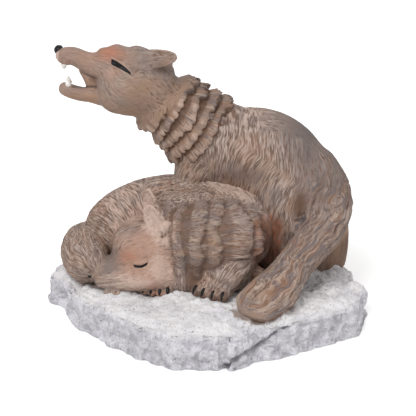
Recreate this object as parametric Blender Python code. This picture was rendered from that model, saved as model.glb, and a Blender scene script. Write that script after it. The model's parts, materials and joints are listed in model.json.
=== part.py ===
"""A cast resin figurine: a wolf sits howling behind a second wolf that lies curled asleep, on a snowy rock.

It is one solid casting. Each limb is a loft of oval sections along a smooth spine, and all are united.
X runs to the end with the howler's tail, Y to the back and Z up, from the middle of the rock's underside.
"""

import math

import bmesh
import bpy
import numpy as np
from mathutils import Vector

MM = 0.001

# The rock and the snow on it
ROCK_LENGTH = 128 * MM
ROCK_DEPTH = 104 * MM
SNOW_LEVEL = 13 * MM
SNOW_LIP = 2.2 * MM
ROCK_FOOT_INSET = 2.2 * MM
# Height of the howling wolf above the snow
FIGURE_HEIGHT = 90.7 * MM
# The places in the tables below are in millimetres, for a figurine of this length, depth and height
TABLE_LENGTH = 128
TABLE_DEPTH = 104
TABLE_HEIGHT = 90.7
# Plan of the foot, counter-clockwise from the left end, in the millimetres of the sizes above
ROCK_PLAN = [
    (-66, 12), (-58.5, 2), (-53, -11.5), (-43.5, -24.5), (-34.5, -33.5), (-20.5, -46), (-7, -50.8),
    (2, -49.6), (11.5, -49.6), (20, -43.6), (28.2, -41.4), (36, -36.7), (47, -28.5), (57.5, -21),
    (61.5, -12.8), (64, -2), (61.5, 8), (60, 18), (53, 32), (42, 43), (26, 50.5), (8, 53),
    (-14, 52), (-36, 46), (-53, 35), (-62, 24),
]
# Height, inset and roughness of each ring of the wall, as shares of the snow level and foot inset
ROCK_WALL = [
    (0.0, 0.2, 0.0),
    (0.12, -0.25, 0.35),
    (0.4, -0.6, 0.6),
    (0.75, -0.45, 0.5),
    (1.0, 0.0, 0.3),
    (1.13, 1.3, 0.2),
    (1.12, 5.0, 0.0),
]

# The howling wolf
HOWLER_GIRTH = 40 * MM
HOWLER_WIDTH = 37 * MM
HOWLER_HEAD_HEIGHT = 28 * MM
HOWLER_HEAD_WIDTH = 26 * MM
NOSE_WIDTH = 4.7 * MM
JAW_WIDTH = 8 * MM
JAW_HEIGHT = 6 * MM
MOUTH_WALL = 4.6 * MM
EAR_LENGTH = 13 * MM
EAR_WIDTH = 7.4 * MM
EAR_THICKNESS = 4 * MM
HOWLER_LEG = 11 * MM
HAUNCH_LENGTH = 30 * MM
HAUNCH_WIDTH = 23 * MM
CHEST_WIDTH = 25 * MM
CHEST_DEPTH = 15.5 * MM
TAIL_WIDTH = 16 * MM
TAIL_HEIGHT = 14.6 * MM
RUFF_PITCH = 5.5 * MM
RUFF_DEPTH = 2.3 * MM
RUFF_TUFTS = 13
TOOTH_HEIGHT = 3.2 * MM
TOOTH_WIDTH = 1.5 * MM

# The sleeping wolf
SLEEPER_GIRTH = 34 * MM
SLEEPER_WIDTH = 31 * MM
SLEEPER_NECK = 29 * MM
SLEEPER_SHOULDER = 32 * MM
SLEEPER_BREAST = 16 * MM
JOWL_WIDTH = 20 * MM
JOWL_HEIGHT = 18 * MM
SLEEPER_HEAD_HEIGHT = 24 * MM
SLEEPER_HEAD_WIDTH = 25 * MM
SLEEPER_EAR_LENGTH = 11.4 * MM
SLEEPER_EAR_WIDTH = 8.4 * MM
SLEEPER_TAIL = 19 * MM
MANE_PITCH = 5.9 * MM
MANE_DEPTH = 1.8 * MM
MANE_TUFTS = 12
PAW_WIDTH = 11.5 * MM
PAW_HEIGHT = 7.5 * MM
TOES = 4
TOE_GROOVE = 0.7 * MM

FUR = (0.36, 0.27, 0.22, 1.0)
FUR_ROUGHNESS = 0.62


def clear_scene():
    """Start from an empty scene."""
    for obj in list(bpy.data.objects):
        bpy.data.objects.remove(obj, do_unlink=True)


def new_collection(name):
    made = bpy.data.collections.new(name)
    bpy.context.scene.collection.children.link(made)
    return made


def rows_along(rows, at):
    """Station rows read at distances along the spine."""
    steps = np.linalg.norm(np.diff(rows[:, :3], axis=0), axis=1)
    return through(rows, np.concatenate([[0.0], np.cumsum(steps)]), at)


def through(rows, knots, at):
    """One smooth cubic through rows that stand at the knots, read at the given places."""
    knots = np.asarray(knots, float)
    slopes = np.gradient(rows, knots, axis=0)
    i = np.clip(np.searchsorted(knots, at, side="right") - 1, 0, len(knots) - 2)
    h = (knots[i + 1] - knots[i])[:, None]
    t = (at - knots[i])[:, None] / h
    start = (2 * t**3 - 3 * t**2 + 1) * rows[i] + (t**3 - 2 * t**2 + t) * h * slopes[i]
    return start + (3 * t**2 - 2 * t**3) * rows[i + 1] + (t**3 - t**2) * h * slopes[i + 1]


def spine_length(rows):
    return float(np.linalg.norm(np.diff(rows[:, :3], axis=0), axis=1).sum())


def loft(name, rows, top, rings, sides, blunt, relief=None):
    """A closed skin over oval sections.

    A row is x, y, z, half width, height above the spine, depth below it. The section's upper side
    faces the top vector. blunt gives the length over which each end rounds off, and relief, where
    it is given, is how far the skin stands out at a distance along the spine and an angle.
    """
    rows = np.array(rows, float)
    length = spine_length(rows)
    share = np.arange(1, rings) / rings
    at = length * (0.5 * share + 0.25 * (1 - np.cos(math.pi * share)))
    read = rows_along(rows, at)
    ends = rows_along(rows, np.array([0.0, length]))[:, :3]
    along = np.gradient(read[:, :3], at, axis=0)
    along /= np.linalg.norm(along, axis=1, keepdims=True)
    up = np.array(top, float) - (along @ np.array(top, float))[:, None] * along
    up /= np.linalg.norm(up, axis=1, keepdims=True)
    across = np.cross(along, up)
    rounding = [1 - np.clip(1 - d / b, 0, 1) ** 2 for d, b in ((at, blunt[0]), (length - at, blunt[1]))]
    taper = np.sqrt(rounding[0] * rounding[1])[:, None]
    angle = 2 * math.pi * np.arange(sides) / sides
    height = np.where(np.sin(angle) > 0, read[:, 4:5], read[:, 5:6])
    out = np.zeros((rings - 1, sides)) if relief is None else relief(at[:, None], angle[None, :])
    wide = (read[:, 3:4] * taper + out * taper) * np.cos(angle)
    high = (height * taper + out * taper) * np.sin(angle)
    grid = read[:, None, :3] + wide[..., None] * across[:, None] + high[..., None] * up[:, None]
    return skin(name, grid, ends)


def skin(name, grid, ends):
    """A closed mesh from rings of points and the two points that close it."""
    rings, sides = grid.shape[:2]
    mesh = bmesh.new()
    points = [[mesh.verts.new(p) for p in ring] for ring in grid]
    for ring, after in zip(points, points[1:]):
        for k in range(sides):
            n = (k + 1) % sides
            mesh.faces.new((ring[k], ring[n], after[n], after[k]))
    for ring, end in ((points[0], ends[0]), (points[-1], ends[1])):
        pole = mesh.verts.new(end)
        for k in range(sides):
            mesh.faces.new((ring[k], ring[(k + 1) % sides], pole))
    bmesh.ops.recalc_face_normals(mesh, faces=mesh.faces)
    made = bpy.data.meshes.new(name)
    mesh.to_mesh(made)
    mesh.free()
    obj = bpy.data.objects.new(name, made)
    limbs.objects.link(obj)
    obj.hide_render = True
    obj.display_type = "WIRE"
    return obj


def tiers(start, pitch, count, depth, tufts):
    """Fur that stands out in overlapping tiers, each with a zigzag edge of pointed tufts."""

    def relief(at, angle):
        turn = angle * tufts / (2 * math.pi)
        which = np.floor((at - start) / pitch)
        zigzag = np.abs(((turn + 0.5 * which) % 1.0) * 2 - 1)
        phase = (at - start) / pitch - 0.45 * zigzag
        inside = (phase > 0) & (phase < count)
        return np.where(inside, depth * (phase % 1.0) ** 0.8, 0.0)

    return relief


def toes(length, reach, count):
    """Grooves that part the toes over the front of a paw."""

    def relief(at, angle):
        front = np.clip((at - (length - reach)) / reach, 0, 1)
        return -TOE_GROOVE * front * (0.5 + 0.5 * np.cos(angle * count * 2))

    return relief


def placed(x, y, z):
    """A place of a table in metres, where x and y run from the middle and z from the snow."""
    return (
        x * ROCK_LENGTH / TABLE_LENGTH,
        y * ROCK_DEPTH / TABLE_DEPTH,
        SNOW_LEVEL + z * FIGURE_HEIGHT / TABLE_HEIGHT,
    )


def stations(table, width, above, below):
    """Rows in metres, from a table's places and section sizes as shares of three named sizes."""
    return [(*placed(x, y, z), w * width, a * above, b * below) for x, y, z, w, a, b in table]


def rock():
    """The rock: a craggy wall around a flat foot, and snow that swells over its top."""
    sides = 64
    plan = np.array(ROCK_PLAN, float) * (ROCK_LENGTH / (TABLE_LENGTH + 1), ROCK_DEPTH / TABLE_DEPTH)
    around = np.linspace(0, len(plan), sides, endpoint=False)
    closed = np.vstack([plan[-2:], plan, plan[:3]])
    reach = np.arange(-2, len(plan) + 3)
    outline = through(closed, reach, around)
    edge = np.linalg.norm(outline, axis=1)[:, None]
    angle = np.arctan2(outline[:, 1], outline[:, 0])
    crag = (0.5 + 0.5 * np.cos(17 * angle + 2 * np.sin(3 * angle)))[:, None]
    front = np.clip(-outline[:, 1:] / (0.5 * ROCK_DEPTH), 0, 1)
    grid = []
    for level, inset, rough in ROCK_WALL:
        ring = outline * (1 - ROCK_FOOT_INSET * (inset + rough * crag) / edge)
        high = level * (SNOW_LEVEL - 2.5 * MM + SNOW_LIP * front)
        grid.append(np.hstack([ring, high]))
    ends = (Vector((0, 0, 0)), Vector((0, 0, SNOW_LEVEL)))
    return skin("rock", np.array(grid), ends)


def ear(name, root, tip, side, width, thickness):
    """A leaf-shaped ear from its root to its tip, broad at a third of its length."""
    root, tip = np.array(root), np.array(tip)
    rows = [
        (*(root + (tip - root) * t), thickness / 2 * k, width / 2 * w, width / 2 * w)
        for t, w, k in ((0, 0.85, 1.0), (0.3, 1.0, 0.95), (0.65, 0.66, 0.8), (1.0, 0.12, 0.4))
    ]
    return loft(name, rows, side, 7, 10, (2 * MM, 1 * MM))


def leg(name, table, thickness, top, rings=8, sides=12):
    rows = stations(table, thickness / 2, thickness / 2, thickness / 2)
    return loft(name, rows, top, rings, sides, (4 * MM, 3 * MM))


def paw(name, table):
    rows = stations(table, PAW_WIDTH / 2, PAW_HEIGHT / 2, PAW_HEIGHT / 2)
    length = spine_length(np.array(rows))
    relief = toes(length, 7 * MM, TOES)
    return loft(name, rows, (0, 0, 1), 9, 16, (4 * MM, 3.5 * MM), relief)


def howling_wolf():
    """The sitting wolf behind: trunk with its ruff, head, open jaws, ears, legs and tail."""
    half = HOWLER_GIRTH / 2
    trunk = [
        (-30, 32, 75, 0.58, 0.53, 0.57),
        (-21, 33, 67, 0.64, 0.61, 0.57),
        (-13, 33.5, 62, 0.69, 0.68, 0.67),
        (-4, 34, 55, 0.76, 0.76, 0.80),
        (7, 34.5, 47, 0.86, 0.88, 0.93),
        (24, 34, 39, 0.95, 1.09, 1.00),
        (35, 32, 24, 1.02, 1.07, 1.00),
        (38.5, 30, 10, 0.98, 1.00, 1.00),
        (38.5, 30, -7, 0.90, 0.94, 0.90),
    ]
    ruff = tiers(8.5 * MM, RUFF_PITCH, 5, RUFF_DEPTH, RUFF_TUFTS)
    rows = stations(trunk, HOWLER_WIDTH / 2, half, half)
    loft("howler_trunk", rows, (0.6, 0, 0.8), 38, 32, (8 * MM, 5 * MM), ruff)

    up = (0, 0.37, 0.93)
    high = HOWLER_HEAD_HEIGHT / 2
    head = [
        (-60.6, 31, 84.7, 0.18, 0.12, 0.21),
        (-58, 31, 85.9, 0.27, 0.24, 0.31),
        (-54, 31, 85.9, 0.33, 0.25, 0.30),
        (-49, 31, 83.8, 0.38, 0.24, 0.33),
        (-45, 31, 82.2, 0.48, 0.29, 0.40),
        (-41.5, 31, 80.7, 0.70, 0.62, 0.54),
        (-36, 31, 77.6, 0.91, 0.98, 1.07),
        (-30, 31.5, 75, 1.00, 1.03, 1.07),
        (-24, 32, 72, 0.96, 0.97, 0.93),
        (-17, 33, 67, 0.85, 0.79, 0.79),
    ]
    rows = stations(head, HOWLER_HEAD_WIDTH / 2, high, high)
    loft("howler_head", rows, up, 24, 22, (2.5 * MM, 6 * MM))

    nose = [
        (-57.2, 35.0, 86.8, 0.80, 0.75, 0.7),
        (-59.3, 35.1, 87.2, 1, 1, 0.9),
        (-61.3, 34.9, 86.7, 0.80, 0.75, 0.8),
    ]
    rows = stations(nose, NOSE_WIDTH / 2, NOSE_WIDTH / 2, NOSE_WIDTH / 2)
    loft("howler_nose", rows, up, 6, 10, (1 * MM, 1 * MM))

    jaw = [
        (-59.5, 31, 72.6, 0.45, 0.5, 0.5),
        (-57, 31, 71.6, 0.85, 0.85, 0.95),
        (-52, 31, 70.1, 1.00, 0.90, 1.05),
        (-47, 31, 69.3, 1.20, 0.95, 1.10),
        (-42, 31, 69.2, 1.70, 1.35, 1.60),
        (-35, 31, 71, 2.10, 2.00, 2.30),
    ]
    rows = stations(jaw, JAW_WIDTH / 2, JAW_HEIGHT / 2, JAW_HEIGHT / 2)
    loft("howler_jaw", rows, up, 12, 12, (2 * MM, 3 * MM))

    wall = [(-50.5, 31, 80.5, 1, 1, 1), (-46.6, 31, 76, 1.2, 1.3, 1.3), (-43.5, 31, 70.5, 1.3, 1.6, 1.6)]
    rows = stations(wall, MOUTH_WALL / 2, MOUTH_WALL / 2, MOUTH_WALL / 2)
    loft("howler_mouth_wall", rows, (1, 0, 0), 6, 8, (2 * MM, 2 * MM))

    chest = [
        (-13, 33, 61, 0.72, 1, 1),
        (-7, 34.5, 47, 1, 1, 1),
        (-6.5, 35, 31, 1, 0.95, 0.95),
        (-6, 35, 7, 0.9, 0.9, 0.9),
    ]
    rows = stations(chest, CHEST_WIDTH / 2, CHEST_DEPTH / 2, CHEST_DEPTH / 2)
    loft("howler_chest", rows, (1, 0, 0), 7, 12, (3 * MM, 3 * MM))

    for side, name in ((-1, "near"), (1, "far")):
        root = Vector(placed(-25.4, 31 + side * 6.0, 82.6 - side * 2.6))
        along = Vector((0.985, 0.05 * side, 0.13)).normalized()
        out = (0.1, 0.92 * side, -0.36 * side)
        width_way = Vector(out).cross(along)
        ear(f"howler_ear_{name}", root, root + along * EAR_LENGTH, width_way, EAR_WIDTH, EAR_THICKNESS)
        tooth(f"lower_fang_{name}", -55.8, 31 + side * 1.7, 73.2, 1)
        tooth(f"upper_fang_{name}", -58.4, 31 + side * 1.8, 82.6, -1)

    for side, y in (("near", 27), ("far", 43)):
        table = [
            (-2, y, 44, 1.35, 1.4, 1.4),
            (-7.5, y, 33, 1.2, 1.25, 1.25),
            (-8.5, y + 0.5, 16, 0.85, 0.9, 0.9),
            (-8.5, y + 0.5, -2, 0.85, 0.85, 0.85),
        ]
        leg(f"howler_foreleg_{side}", table, HOWLER_LEG, (1, 0, 0))
        toe = [(-5, y, 2.4, 0.8, 1, 1), (-10, y, 2.2, 1, 1.1, 1.3), (-16, y, 1.2, 0.9, 0.85, 1.3)]
        paw(f"howler_forepaw_{side}", toe)
    for side, y in (("near", 21), ("far", 41.5)):
        haunch = [(32, y + 3, 45, 0.5, 0.6, 0.6), (33, y, 20, 1.0, 1.0, 1.0), (35, y, -3, 0.75, 0.75, 0.9)]
        rows = stations(haunch, HAUNCH_WIDTH / 2, HAUNCH_LENGTH / 2, HAUNCH_LENGTH / 2)
        loft(f"howler_haunch_{side}", rows, (1, 0, 0), 10, 14, (14 * MM, 6 * MM))
    hind = [(33, 47, 3, 0.9, 1.2, 1.3), (24, 48, 2.6, 1, 1.1, 1.3), (13, 48, 1.4, 0.95, 0.9, 1.3)]
    paw("howler_hind_paw", hind)

    tail = [
        (38, 31, 49, 0.4, 0.4, 0.4),
        (45, 26, 41.5, 0.84, 0.84, 0.84),
        (48.8, 21.5, 34, 1.03, 0.96, 0.96),
        (48.5, 13.5, 26, 1.15, 0.96, 0.96),
        (44.6, 6, 19.5, 1.08, 0.90, 0.93),
        (38.4, -1.5, 14.8, 0.94, 0.88, 0.93),
        (34, -7, 11.5, 0.85, 0.88, 1.0),
        (29.6, -14.5, 8.3, 0.97, 0.88, 1.1),
        (23.6, -23, 5.8, 1.2, 0.82, 1.1),
        (17.5, -29.5, 3.8, 1.15, 0.64, 0.85),
        (13, -33, 2.4, 0.82, 0.45, 0.6),
    ]
    rows = stations(tail, TAIL_WIDTH / 2, TAIL_HEIGHT / 2, TAIL_HEIGHT / 2)
    loft("howler_tail", rows, (0, 0, 1), 20, 18, (5 * MM, 5 * MM))


def tooth(name, x, y, z, way):
    """A fang: a narrow cone rooted in its jaw."""
    mesh = bmesh.new()
    bmesh.ops.create_cone(
        mesh,
        cap_ends=True,
        segments=6,
        radius1=TOOTH_WIDTH / 2,
        radius2=TOOTH_WIDTH / 8,
        depth=TOOTH_HEIGHT,
    )
    if way < 0:
        bmesh.ops.scale(mesh, verts=mesh.verts, vec=(1, -1, -1))
    bmesh.ops.translate(mesh, verts=mesh.verts, vec=placed(x, y, z))
    made = bpy.data.meshes.new(name)
    mesh.to_mesh(made)
    mesh.free()
    obj = bpy.data.objects.new(name, made)
    limbs.objects.link(obj)
    obj.hide_render = True
    obj.display_type = "WIRE"


def sleeping_wolf():
    """The curled wolf in front: back, maned neck, head on its paws, ears and tail."""
    half = SLEEPER_GIRTH / 2
    back = [
        (-46, 12, 9, 0.55, 0.50, 0.60),
        (-39, 17, 14, 0.84, 0.82, 0.85),
        (-29, 22.5, 17.6, 0.96, 0.95, 1.00),
        (-14, 25.5, 18.5, 1.00, 1.03, 1.06),
        (2, 23.5, 18, 1.00, 1.00, 1.06),
        (12, 15, 17, 0.94, 0.94, 1.00),
        (14, 4, 15.5, 0.80, 0.82, 0.90),
    ]
    rows = stations(back, SLEEPER_WIDTH / 2, half, half)
    loft("sleeper_back", rows, (0, 0, 1), 18, 26, (9 * MM, 7 * MM))

    neck = [
        (-20, 6, 14.5, 0.70, 0.70, 0.75),
        (-12, 4, 16, 0.87, 0.93, 0.93),
        (-2, 2, 17, 0.97, 1.07, 1.05),
        (8, 2, 17, 0.97, 1.10, 1.07),
        (18, 6, 16, 0.78, 0.92, 0.92),
    ]
    mane = tiers(0.9 * MM, MANE_PITCH, 6, MANE_DEPTH, MANE_TUFTS)
    rows = stations(neck, SLEEPER_NECK / 2, SLEEPER_NECK / 2, SLEEPER_NECK / 2)
    loft("sleeper_neck", rows, (0, 0, 1), 27, 28, (6 * MM, 8 * MM), mane)

    shoulder = [
        (-19, 14, 16, 0.7, 0.81, 0.81),
        (-6, 13.5, 18, 0.81, 1, 0.94),
        (8, 12, 18, 0.81, 1, 0.94),
        (17, 9, 16, 0.63, 0.84, 0.81),
    ]
    rows = stations(shoulder, SLEEPER_SHOULDER / 2, SLEEPER_SHOULDER / 2, SLEEPER_SHOULDER / 2)
    loft("sleeper_shoulder", rows, (0, 0, 1), 8, 18, (6 * MM, 6 * MM))

    breast = [
        (-14, -2, 5, 0.9, 0.9, 0.8),
        (-2, -4.5, 5, 1, 1, 0.8),
        (12, -2, 6, 1, 1.05, 0.9),
        (16, 3, 8, 0.9, 1.1, 1.0),
    ]
    rows = stations(breast, SLEEPER_BREAST / 2, SLEEPER_BREAST / 2, SLEEPER_BREAST / 2)
    loft("sleeper_breast", rows, (0, 0, 1), 8, 12, (4 * MM, 4 * MM))

    jowl = [
        (-45.5, -3.2, 2.6, 0.26, 0.27, 0.27),
        (-40, -3.6, 3.2, 0.46, 0.42, 0.40),
        (-32, -3.8, 4, 0.70, 0.60, 0.51),
        (-24, -3.2, 5.2, 0.92, 0.84, 0.62),
        (-16, -1.4, 7, 1.0, 1.0, 0.84),
    ]
    rows = stations(jowl, JOWL_WIDTH / 2, JOWL_HEIGHT / 2, JOWL_HEIGHT / 2)
    loft("sleeper_jowl", rows, (0, 0, 1), 9, 14, (2.5 * MM, 5 * MM))

    high = SLEEPER_HEAD_HEIGHT / 2
    head = [
        (-47.4, -2.0, 4.0, 0.20, 0.20, 0.22),
        (-45, -1.5, 4.8, 0.28, 0.30, 0.32),
        (-40, -0.6, 6.8, 0.38, 0.34, 0.42),
        (-36.5, 0.4, 8.4, 0.48, 0.38, 0.50),
        (-34.5, 0.8, 9.3, 0.58, 0.70, 0.57),
        (-31.5, 1.5, 10.7, 0.75, 0.98, 0.70),
        (-27, 2.5, 12.3, 0.93, 1.12, 0.90),
        (-21, 4, 13.6, 1.02, 1.12, 1.02),
        (-13, 5, 15, 0.96, 1.04, 1.02),
    ]
    rows = stations(head, SLEEPER_HEAD_WIDTH / 2, high, high)
    loft("sleeper_head", rows, (0, 0.1, 1), 20, 20, (2.5 * MM, 6 * MM))

    ears = (
        ("near", (-18.6, -3, 24.6), (-0.47, 0.16, 0.87), (-0.5, -0.82, 0.2)),
        ("far", (-21.4, 10.6, 25.6), (-0.22, 0.1, 0.97), (-0.75, -0.6, 0)),
    )
    for name, root, way, out in ears:
        root, along = Vector(placed(*root)), Vector(way).normalized()
        tip = root + along * SLEEPER_EAR_LENGTH
        ear(f"sleeper_ear_{name}", root, tip, Vector(out).cross(along), SLEEPER_EAR_WIDTH, EAR_THICKNESS)

    foreleg = [
        (12, 2, 14, 1.45, 1.45, 1.45),
        (10, -4, 11, 1.55, 1.35, 1.4),
        (6.4, -9.5, 7.6, 1.5, 1.12, 1.15),
        (3.4, -13, 5, 1.35, 0.88, 0.9),
    ]
    leg("sleeper_foreleg", foreleg, HOWLER_LEG, (0, 0, 1))
    fore = [(6, -7, 7, 1.1, 1.2, 1.2), (3.2, -12, 4.6, 1.3, 1.1, 1.3), (0.2, -20, 2.0, 1.25, 0.7, 1.0)]
    paw("sleeper_forepaw", fore)
    tucked = [(-19, -1, 1.6, 0.9, 0.8, 1), (-20, -6, 1.2, 1.05, 0.7, 1), (-21, -12.8, 0.4, 1.05, 0.5, 0.8)]
    paw("sleeper_tucked_paw", tucked)
    hind = [(-36, -5, 0.4, 0.6, 0.55, 0.8), (-38, -9.5, 0.2, 0.7, 0.5, 0.8), (-40, -15, -0.4, 0.65, 0.4, 0.7)]
    paw("sleeper_hind_paw", hind)

    tail = [
        (-24, 40, 5, 0.55, 0.55, 0.8),
        (-37, 35, 6.5, 0.75, 0.72, 0.95),
        (-47, 25, 7.5, 0.92, 0.92, 1.0),
        (-50, 13, 9, 1.0, 1.08, 1.05),
        (-48, 4, 8, 0.95, 0.95, 1.0),
        (-44, -2, 4.5, 0.6, 0.55, 0.8),
    ]
    rows = stations(tail, SLEEPER_TAIL / 2, SLEEPER_TAIL / 2, SLEEPER_TAIL / 2)
    loft("sleeper_tail", rows, (0, 0, 1), 16, 16, (5 * MM, 4 * MM))


def painted(name, colour, roughness):
    made = bpy.data.materials.new(name)
    made.use_nodes = True
    shader = made.node_tree.nodes["Principled BSDF"]
    shader.inputs["Base Color"].default_value = colour
    shader.inputs["Roughness"].default_value = roughness
    return made


def cast():
    """The one casting: the rock with both wolves united to it."""
    stone = rock()
    limbs.objects.unlink(stone)
    figurine.objects.link(stone)
    stone.name = "wolf_figurine"
    stone.hide_render = False
    stone.display_type = "TEXTURED"
    howling_wolf()
    sleeping_wolf()
    union = stone.modifiers.new("one casting", "BOOLEAN")
    union.operation = "UNION"
    union.operand_type = "COLLECTION"
    union.collection = limbs
    union.solver = "EXACT"
    stone.data.materials.append(painted("painted_resin", FUR, FUR_ROUGHNESS))
    return stone


clear_scene()
figurine = new_collection("wolf_figurine")
limbs = new_collection("limbs")
cast()
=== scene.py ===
"""The looks of a cast and hand-painted figurine of two wolves on a snow-covered rock.

Each limb is a grid of points worked out from two parameters, the distance along a spine and the angle
round the section. The limbs are melted into continuous skins, as they are in the casting. The fur is
relief pushed out of those skins, and what the brush left on them, with painted shade in the hollows
and painted highlights on the raised parts, is kept as attributes for the paints.
All places in this file are millimetres in the figurine's own frame: X along the rock, Y to the back, Z up.
"""

import json
import logging
import math
from dataclasses import dataclass, field
from enum import Enum
from typing import Optional, Sequence

import bpy
import numpy as np
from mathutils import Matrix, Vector

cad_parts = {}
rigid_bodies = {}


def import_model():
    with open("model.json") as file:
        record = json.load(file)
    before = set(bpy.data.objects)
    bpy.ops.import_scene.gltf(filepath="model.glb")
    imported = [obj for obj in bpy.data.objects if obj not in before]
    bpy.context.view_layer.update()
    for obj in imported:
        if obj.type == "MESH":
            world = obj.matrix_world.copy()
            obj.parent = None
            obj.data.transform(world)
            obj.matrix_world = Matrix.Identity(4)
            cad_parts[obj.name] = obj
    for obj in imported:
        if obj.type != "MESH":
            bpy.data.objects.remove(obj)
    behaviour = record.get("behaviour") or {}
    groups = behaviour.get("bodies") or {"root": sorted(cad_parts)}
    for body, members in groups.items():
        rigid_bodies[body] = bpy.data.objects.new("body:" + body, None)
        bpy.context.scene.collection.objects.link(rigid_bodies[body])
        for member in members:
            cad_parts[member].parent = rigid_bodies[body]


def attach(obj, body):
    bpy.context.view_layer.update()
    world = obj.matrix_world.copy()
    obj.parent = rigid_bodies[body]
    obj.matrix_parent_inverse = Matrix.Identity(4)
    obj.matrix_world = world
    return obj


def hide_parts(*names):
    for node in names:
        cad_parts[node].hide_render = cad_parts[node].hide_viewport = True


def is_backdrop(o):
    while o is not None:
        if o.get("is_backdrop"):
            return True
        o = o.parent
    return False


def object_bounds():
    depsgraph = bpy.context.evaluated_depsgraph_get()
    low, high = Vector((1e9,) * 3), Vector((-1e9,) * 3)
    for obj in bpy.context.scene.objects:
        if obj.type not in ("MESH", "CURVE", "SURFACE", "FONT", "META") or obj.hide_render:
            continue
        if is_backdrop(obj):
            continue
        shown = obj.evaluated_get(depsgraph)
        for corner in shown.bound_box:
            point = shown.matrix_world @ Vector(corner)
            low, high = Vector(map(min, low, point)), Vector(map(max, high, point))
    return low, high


LOG = logging.getLogger("wolf_figurine")
MM = 0.001
NODE = "wolf_figurine"
BODY = "root"
MELTING = 0.62
FLOW_STEP = 0.8
MARGIN = 0.02
LARGE = 20000
# the ridge that hanging hair leaves, and how fast it falls towards the rump
RIDGE_TOP = 70.0
RIDGE_FALL = 0.62
# the howling head's middle
HEAD_Y = 31.0
HEAD_Z = 90.0
# the photograph's view: what the lens looks at, and the focal length and the picture's width in pixels
LENS_HEIGHT = 45.6
LENS_TILT = math.radians(22)
LENS_PIXELS = 1530.0
PHOTO_PIXELS = 416.0
SENSOR = 36.0
Row = tuple[float, ...]


class Slot(Enum):
    """The record's material slots."""

    FUR = "painted_fur"
    SNOW = "painted_snow"
    BLACK = "painted_black"
    TEETH = "painted_teeth"


class Flow(Enum):
    """Which way the hairs of a limb lie."""

    ALONG = "along the spine"
    AROUND = "around the girth"
    HANGING = "down the flanks, and slanting where they leave the ridge"


# fields over a surface


def ramp(low: float, high: float, value: np.ndarray) -> np.ndarray:
    """A smooth step: 0 below low, 1 above high, and 3t^2 - 2t^3 between them.

    Args:
        low: Where the step starts. It may be above high, which turns the step round.
        high: Where it ends.
        value: The field that is stepped.

    Returns:
        The stepped field.
    """
    t = np.clip((value - low) / (high - low), 0, 1)
    return t * t * (3 - 2 * t)


def hump(value: np.ndarray, centre: float, reach: float) -> np.ndarray:
    """A bell: e to the minus square of the distance from the centre over the reach."""
    return np.exp(-(((value - centre) / reach) ** 2))


def spot(
    x: np.ndarray, y: np.ndarray, centre: tuple[float, float], reach: tuple[float, float]
) -> np.ndarray:
    """A bell over two fields at once."""
    return hump(x, centre[0], reach[0]) * hump(y, centre[1], reach[1])


def scatter(x: np.ndarray, y: np.ndarray, z: np.ndarray, seed: int) -> np.ndarray:
    """Repeatable values from 0 to 1 at whole-number places, by mixing the places' bits."""
    mixed = (x * 374761393 + y * 668265263 + z * 1274126177 + seed * 974634777) & 0xFFFFFFFF
    mixed = ((mixed ^ (mixed >> 13)) * 1274126177) & 0xFFFFFFFF
    mixed = mixed ^ (mixed >> 16)
    return (mixed & 0xFFFF) / 65535.0


def noise(places: np.ndarray, cell: float, seed: int = 0) -> np.ndarray:
    """Smooth value noise: scattered values at the corners of cells, blended by 3t^2 - 2t^3 between them.

    Args:
        places: Points, with x, y, z on the last axis.
        cell: Size of the cells.
        seed: Which pattern.

    Returns:
        Values from 0 to 1.
    """
    whole = np.floor(places / cell)
    part = places / cell - whole
    part = part * part * (3 - 2 * part)
    whole = whole.astype(np.int64)
    result = np.zeros(places.shape[:-1])
    for corner in range(8):
        bits = np.array([corner & 1, corner >> 1 & 1, corner >> 2])
        weight = np.prod(np.where(bits, part, 1 - part), axis=-1)
        at = whole + bits
        result += weight * scatter(at[..., 0], at[..., 1], at[..., 2], seed)
    return result


def hairs(flow: np.ndarray, pitch: float, seed: int) -> np.ndarray:
    """Combed hair: ridged noise in three sizes, over coordinates that are pressed together along the hairs.

    Args:
        flow: Such coordinates, x, y, z on the last axis.
        pitch: Width of one lock.
        seed: Which pattern.

    Returns:
        The height of the hair, 0 in the grooves and 1 on the crests.
    """
    total = 0.0
    for octave, (fine, share) in enumerate(((1.0, 0.5), (2.1, 0.32), (4.3, 0.18))):
        total = total + share * (1 - np.abs(2 * noise(flow, pitch / fine, seed + octave) - 1)) ** 1.4
    return np.clip((total - 0.25) * 1.7, 0, 1)


# surfaces


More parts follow.
